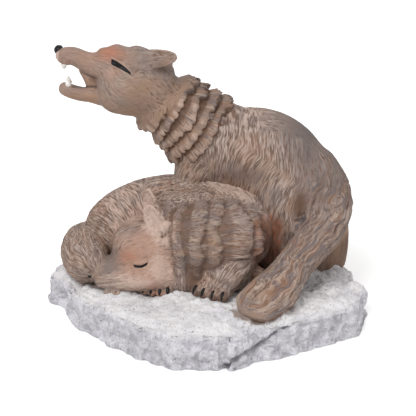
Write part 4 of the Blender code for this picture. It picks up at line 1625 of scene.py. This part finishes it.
    def build(self) -> None:
        """Makes every piece of this wolf."""
        skin = self.skin()
        skin.washed()
        skin.build(self.palette.fur, self.palette.box)
        for paw in self.paws:
            if paw.claws:
                paw.clawed(self.palette)
        rows = (
            (-45.4, -2.0, 18.6, 1.9, 1.3, 1.2),
            (-46.9, -2.1, 18.0, 2.0, 1.5, 1.5),
            (-48.2, -2.2, 17.2, 1.4, 1.1, 1.2),
        )
        self.palette.small(Limb("sleeper_nose", rows, (0, 0, 1), (1, 1), Coat(), 24, 24), Slot.BLACK)


# the rock


@dataclass(frozen=True)
class Rock:
    """The rock with snow on it, from its flat foot over the wall to the middle of its top.

    Attributes:
        palette: The paints, and the box to stay in.
        lying: The limbs that lie on the rock, with a bank of snow along them.
        plan: Corners of the foot's plan, seen from above.
        rings: Rows of points from the foot to the middle of the top.
        sides: Points in each row.
        top: Height of the snow at the back.
        rise: How much higher it is in front.
        reach: How far in front of the middle the whole rise is reached.
        middle: Height of the snow's middle.
    """

    palette: Palette
    lying: tuple[Limb, ...]
    plan: tuple[tuple[float, float], ...] = (
        (-66, 12), (-58.5, 2), (-53, -11.5), (-43.5, -24.5), (-34.5, -33.5), (-20.5, -46), (-7, -50.8),
        (2, -49.6), (11.5, -49.6), (20, -43.6), (28.2, -41.4), (36, -36.7), (47, -28.5), (57.5, -21),
        (61.5, -12.8), (64, -2), (61.5, 8), (60, 18), (53, 32), (42, 43), (26, 50.5), (8, 53), (-14, 52),
        (-36, 46), (-53, 35), (-62, 24),
    )
    rings: int = 156
    sides: int = 620
    top: float = 10.9
    rise: float = 2.2
    reach: float = 52.0
    middle: float = 11.5

    def outline(self) -> np.ndarray:
        """The foot's plan, by a closed cubic through its corners."""
        plan = np.array(self.plan, float)
        count = len(plan)
        at = np.arange(self.sides) / self.sides * count
        i = at.astype(int)
        t = (at - i)[:, None]
        p = [plan[(i + k) % count] for k in (-1, 0, 1, 2)]
        start = (2 * t**3 - 3 * t**2 + 1) * p[1] + (t**3 - 2 * t**2 + t) * (p[2] - p[0]) / 2
        return start + (3 * t**2 - 2 * t**3) * p[2] + (t**3 - t**2) * (p[3] - p[1]) / 2

    def surface(self) -> tuple[Surface, dict[str, np.ndarray]]:
        """Each ring is the outline pulled in and lifted. Crags, swells and clumps are noise.

        Returns:
            The surface, and how much of each wash lies on it.
        """
        outline = self.outline()
        flat = np.column_stack([outline, np.zeros(self.sides)])
        dents = 1.3 * ramp(0.42, 0.75, noise(flat, 6.5, 5))
        dents = dents + 0.9 * ramp(0.4, 0.8, noise(flat, 3.0, 6)) - 0.3
        outline = outline * (1 - dents / np.linalg.norm(outline, axis=1))[:, None]
        share = np.linspace(0, 1, self.rings)[:, None]
        walls = (
            (0, 0.0, 0.6), (0.06, 0.03, -0.2), (0.16, 0.32, 0.5), (0.3, 0.72, 0.7),
            (0.38, 0.93, 1.2), (0.44, 1.05, 2.6), (0.52, 1.1, 7.5), (1, 1.06, 57),
        )
        keys = np.array(walls)
        level = np.interp(share, keys[:, 0], keys[:, 1])
        inset = np.interp(share, keys[:, 0], keys[:, 2])
        edge = np.linalg.norm(outline, axis=1)[None, :]
        ring = outline[None] * np.clip(1 - inset / edge, 0.02, 2)[..., None]
        front = np.clip(-outline[:, 1] / self.reach, 0, 1)[None, :]
        height = level * (self.top + self.rise * front)
        poles = (np.zeros(3), np.array([0, 0, self.middle]))
        skin = Surface(np.concatenate([ring, height[..., None]], axis=2), poles)
        p = skin.points
        wall = ramp(0.02, 0.1, share) * ramp(0.62, 0.42, share)
        crag = noise(p, 7.5, 3) - 0.5 + 0.6 * (noise(p, 3.2, 4) - 0.5)
        facets = np.abs(noise(p, 10.0, 7) - 0.5) * 2
        line = p[..., 0] - 26 - 0.95 * (p[..., 1] + 41.5) - (p[..., 2] - 13)
        crack = hump(line, 0, 1.1) * ramp(-31, -36, p[..., 1]) * ramp(0.7, 0.5, share)
        broken = 1.1 * (noise(p, 4.2, 8) - 0.5) + 0.6 * (noise(p, 2.1, 9) - 0.5)
        skin.push((2.0 * crag - (1 - facets) ** 3 - 0.2 + broken) * wall - 1.6 * crack)
        p = skin.points
        on_top = ramp(0.34, 0.5, share)
        swell = 1.5 * (noise(p * (1, 1, 0), 8.0, 12) - 0.5) + 1.1 * (noise(p * (1, 1, 0), 3.6, 13) - 0.5)
        clumps = 0.9 * (noise(p, 2.0, 16) - 0.5) + 0.75 * (noise(p, 1.1, 14) - 0.5)
        gap = np.min([limb.locate(p.reshape(-1, 3))[2] for limb in self.lying], axis=0).reshape(p.shape[:2])
        bank = 1.5 * np.exp(-np.clip(gap, 0, None) / 2.2) * ramp(0.35, 0.65, noise(p, 5.0, 18)) * on_top
        skin.push(swell * on_top + clumps * ramp(0.02, 0.1, share) * (1.05 + 0.25 * on_top) + bank)
        skin.points[..., 2] = np.maximum(skin.points[..., 2], 0) * ramp(-0.01, 0.012, share)
        box = self.palette.box
        skin.points = np.clip(skin.points, box[0], box[1] - MARGIN)
        x, y = skin.points[..., 0], skin.points[..., 1]
        snow = on_top * (0.6 + 0.4 * ramp(0.3, 0.55, noise(skin.points, 6.0, 17)))
        # brown on the snow close to the lying limbs, fading with distance from them: partly a stain, partly
        # painted contact shadow
        stain_and_shade = 0.8 * np.exp(-np.clip(gap - 0.3, 0, None) / 1.3) * on_top
        stain_and_shade = stain_and_shade * ramp(0.25, 0.6, noise(skin.points, 4.0, 19))
        stain_and_shade = np.maximum(stain_and_shade, 0.2 * spot(x, y, (45, -4), (10, 10)) * on_top)
        return skin, {"snow": snow, "stain_and_shade": stain_and_shade, "crack": crack * 0.8}

    def build(self) -> None:
        """Makes the piece."""
        surface, paint = self.surface()
        mesh = meshed("rock", [surface], MM)
        for kind, value in paint.items():
            layer = mesh.attributes.new(kind, "FLOAT", "POINT")
            flat = np.concatenate([value.ravel(), [value[0].mean(), value[-1].mean()]])
            layer.data.foreach_set("value", np.clip(flat, 0, 1).astype(np.float32))
        piece_of("rock", mesh, self.palette.snow)


# the stage


@dataclass(frozen=True)
class Lamp:
    """An area lamp that looks at the figurine's middle."""

    name: str
    place: tuple[float, float, float]
    power: float
    size: float

    def build(self) -> None:
        """Places the lamp."""
        light = bpy.data.lights.new(self.name, "AREA")
        light.energy = self.power
        light.size = self.size
        lamp = bpy.data.objects.new(self.name, light)
        bpy.context.scene.collection.objects.link(lamp)
        lamp.location = self.place
        way = Vector((0, 0, 0.045)) - Vector(self.place)
        lamp.rotation_mode = "QUATERNION"
        lamp.rotation_quaternion = way.to_track_quat("-Z", "Y")


@dataclass(frozen=True)
class Stage:
    """White ground and surroundings, soft lamps, and the camera of the photograph.

    Attributes:
        distance: From the camera to what it looks at, in metres.
        glow: How brightly the ground shows to the camera.
        sky: How brightly the surroundings light the figurine.
        sky_seen: How much brighter they show to the camera.
        focal: Focal length, as a share of the picture's width.
        lamps: The lamps.
    """

    distance: float = 0.6
    glow: float = 0.4
    sky: float = 0.45
    sky_seen: float = 0.6
    focal: float = LENS_PIXELS / PHOTO_PIXELS
    lamps: tuple[Lamp, ...] = (
        Lamp("key", (-0.30, -0.50, 0.80), 5.2, 0.45),
        Lamp("fill", (0.7, -0.5, 0.35), 1.2, 0.6),
        Lamp("rim", (0.1, 0.7, 0.6), 1.6, 0.6),
    )

    def floor(self) -> None:
        """A white ground that keeps the figurine's shadow."""
        mesh = bpy.data.meshes.new("floor")
        reach = 3.0
        corners = [(x * reach, y * reach, 0) for x, y in ((-1, -1), (1, -1), (1, 1), (-1, 1))]
        mesh.from_pydata(corners, [], [(0, 1, 2, 3)])
        white = bpy.data.materials.new("white ground")
        white.use_nodes = True
        shader = white.node_tree.nodes["Principled BSDF"]
        shader.inputs["Base Color"].default_value = (0.9, 0.9, 0.9, 1)
        shader.inputs["Roughness"].default_value = 0.9
        shader.inputs["Specular IOR Level"].default_value = 0.0
        shader.inputs["Emission Color"].default_value = (1, 1, 1, 1)
        start = Wire(white.node_tree, shader.outputs[0])
        ray = start.node("ShaderNodeLightPath", {}, {}, "Is Camera Ray")
        white.node_tree.links.new((ray * self.glow).socket, shader.inputs["Emission Strength"])
        mesh.materials.append(white)
        floor = bpy.data.objects.new("floor", mesh)
        floor.location = (0, 0, -0.0002)
        bpy.context.scene.collection.objects.link(floor)
        floor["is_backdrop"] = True

    def surroundings(self) -> None:
        """A plain white world that also lights the figurine softly."""
        world = bpy.data.worlds.new("white surroundings")
        bpy.context.scene.world = world
        world.use_nodes = True
        tree = world.node_tree
        background = tree.nodes["Background"]
        background.inputs["Color"].default_value = (1, 1, 1, 1)
        start = Wire(tree, background.outputs[0])
        ray = start.node("ShaderNodeLightPath", {}, {}, "Is Camera Ray")
        tree.links.new((ray * self.sky_seen + self.sky).socket, background.inputs["Strength"])

    def camera(self) -> None:
        """Looks 22 degrees down at the figurine, from straight in front."""
        lens = bpy.data.cameras.new("camera")
        lens.sensor_width = SENSOR
        lens.lens = SENSOR * self.focal
        lens.clip_start = 0.01
        camera = bpy.data.objects.new("camera", lens)
        back = Vector((0, -math.cos(LENS_TILT), math.sin(LENS_TILT)))
        camera.location = Vector((0, 0, LENS_HEIGHT * MM)) + back * self.distance
        camera.rotation_mode = "QUATERNION"
        camera.rotation_quaternion = (-back).to_track_quat("-Z", "Y")
        bpy.context.scene.collection.objects.link(camera)
        bpy.context.scene.camera = camera

    def build(self) -> None:
        """Sets the whole stage."""
        self.floor()
        self.surroundings()
        for lamp in self.lamps:
            lamp.build()
        self.camera()
        bpy.context.scene.view_settings.view_transform = "Standard"


def sizes() -> list[list[float]]:
    """The whole figurine's corners, as plain numbers."""
    return [[float(v) for v in corner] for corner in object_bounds()]


def main() -> None:
    """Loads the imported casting, dresses it and sets the stage."""
    logging.basicConfig(level=logging.INFO, format="%(name)s: %(message)s")
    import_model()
    packed = sizes()
    palette = Palette.mixed(np.array(packed) / MM)
    howler, sleeper = HowlingWolf(palette), SleepingWolf(palette)
    howler.build()
    sleeper.build()
    lying = (howler.tail, howler.trunk, sleeper.back, sleeper.jowl, sleeper.tail, sleeper.foreleg)
    Rock(palette, lying).build()
    Stage().build()
    for piece in bpy.context.scene.objects:
        if piece.type == "MESH" and len(piece.data.polygons) > LARGE:
            LOG.info("%s: %d faces", piece.name, len(piece.data.polygons))


if __name__ == "__main__":
    main()
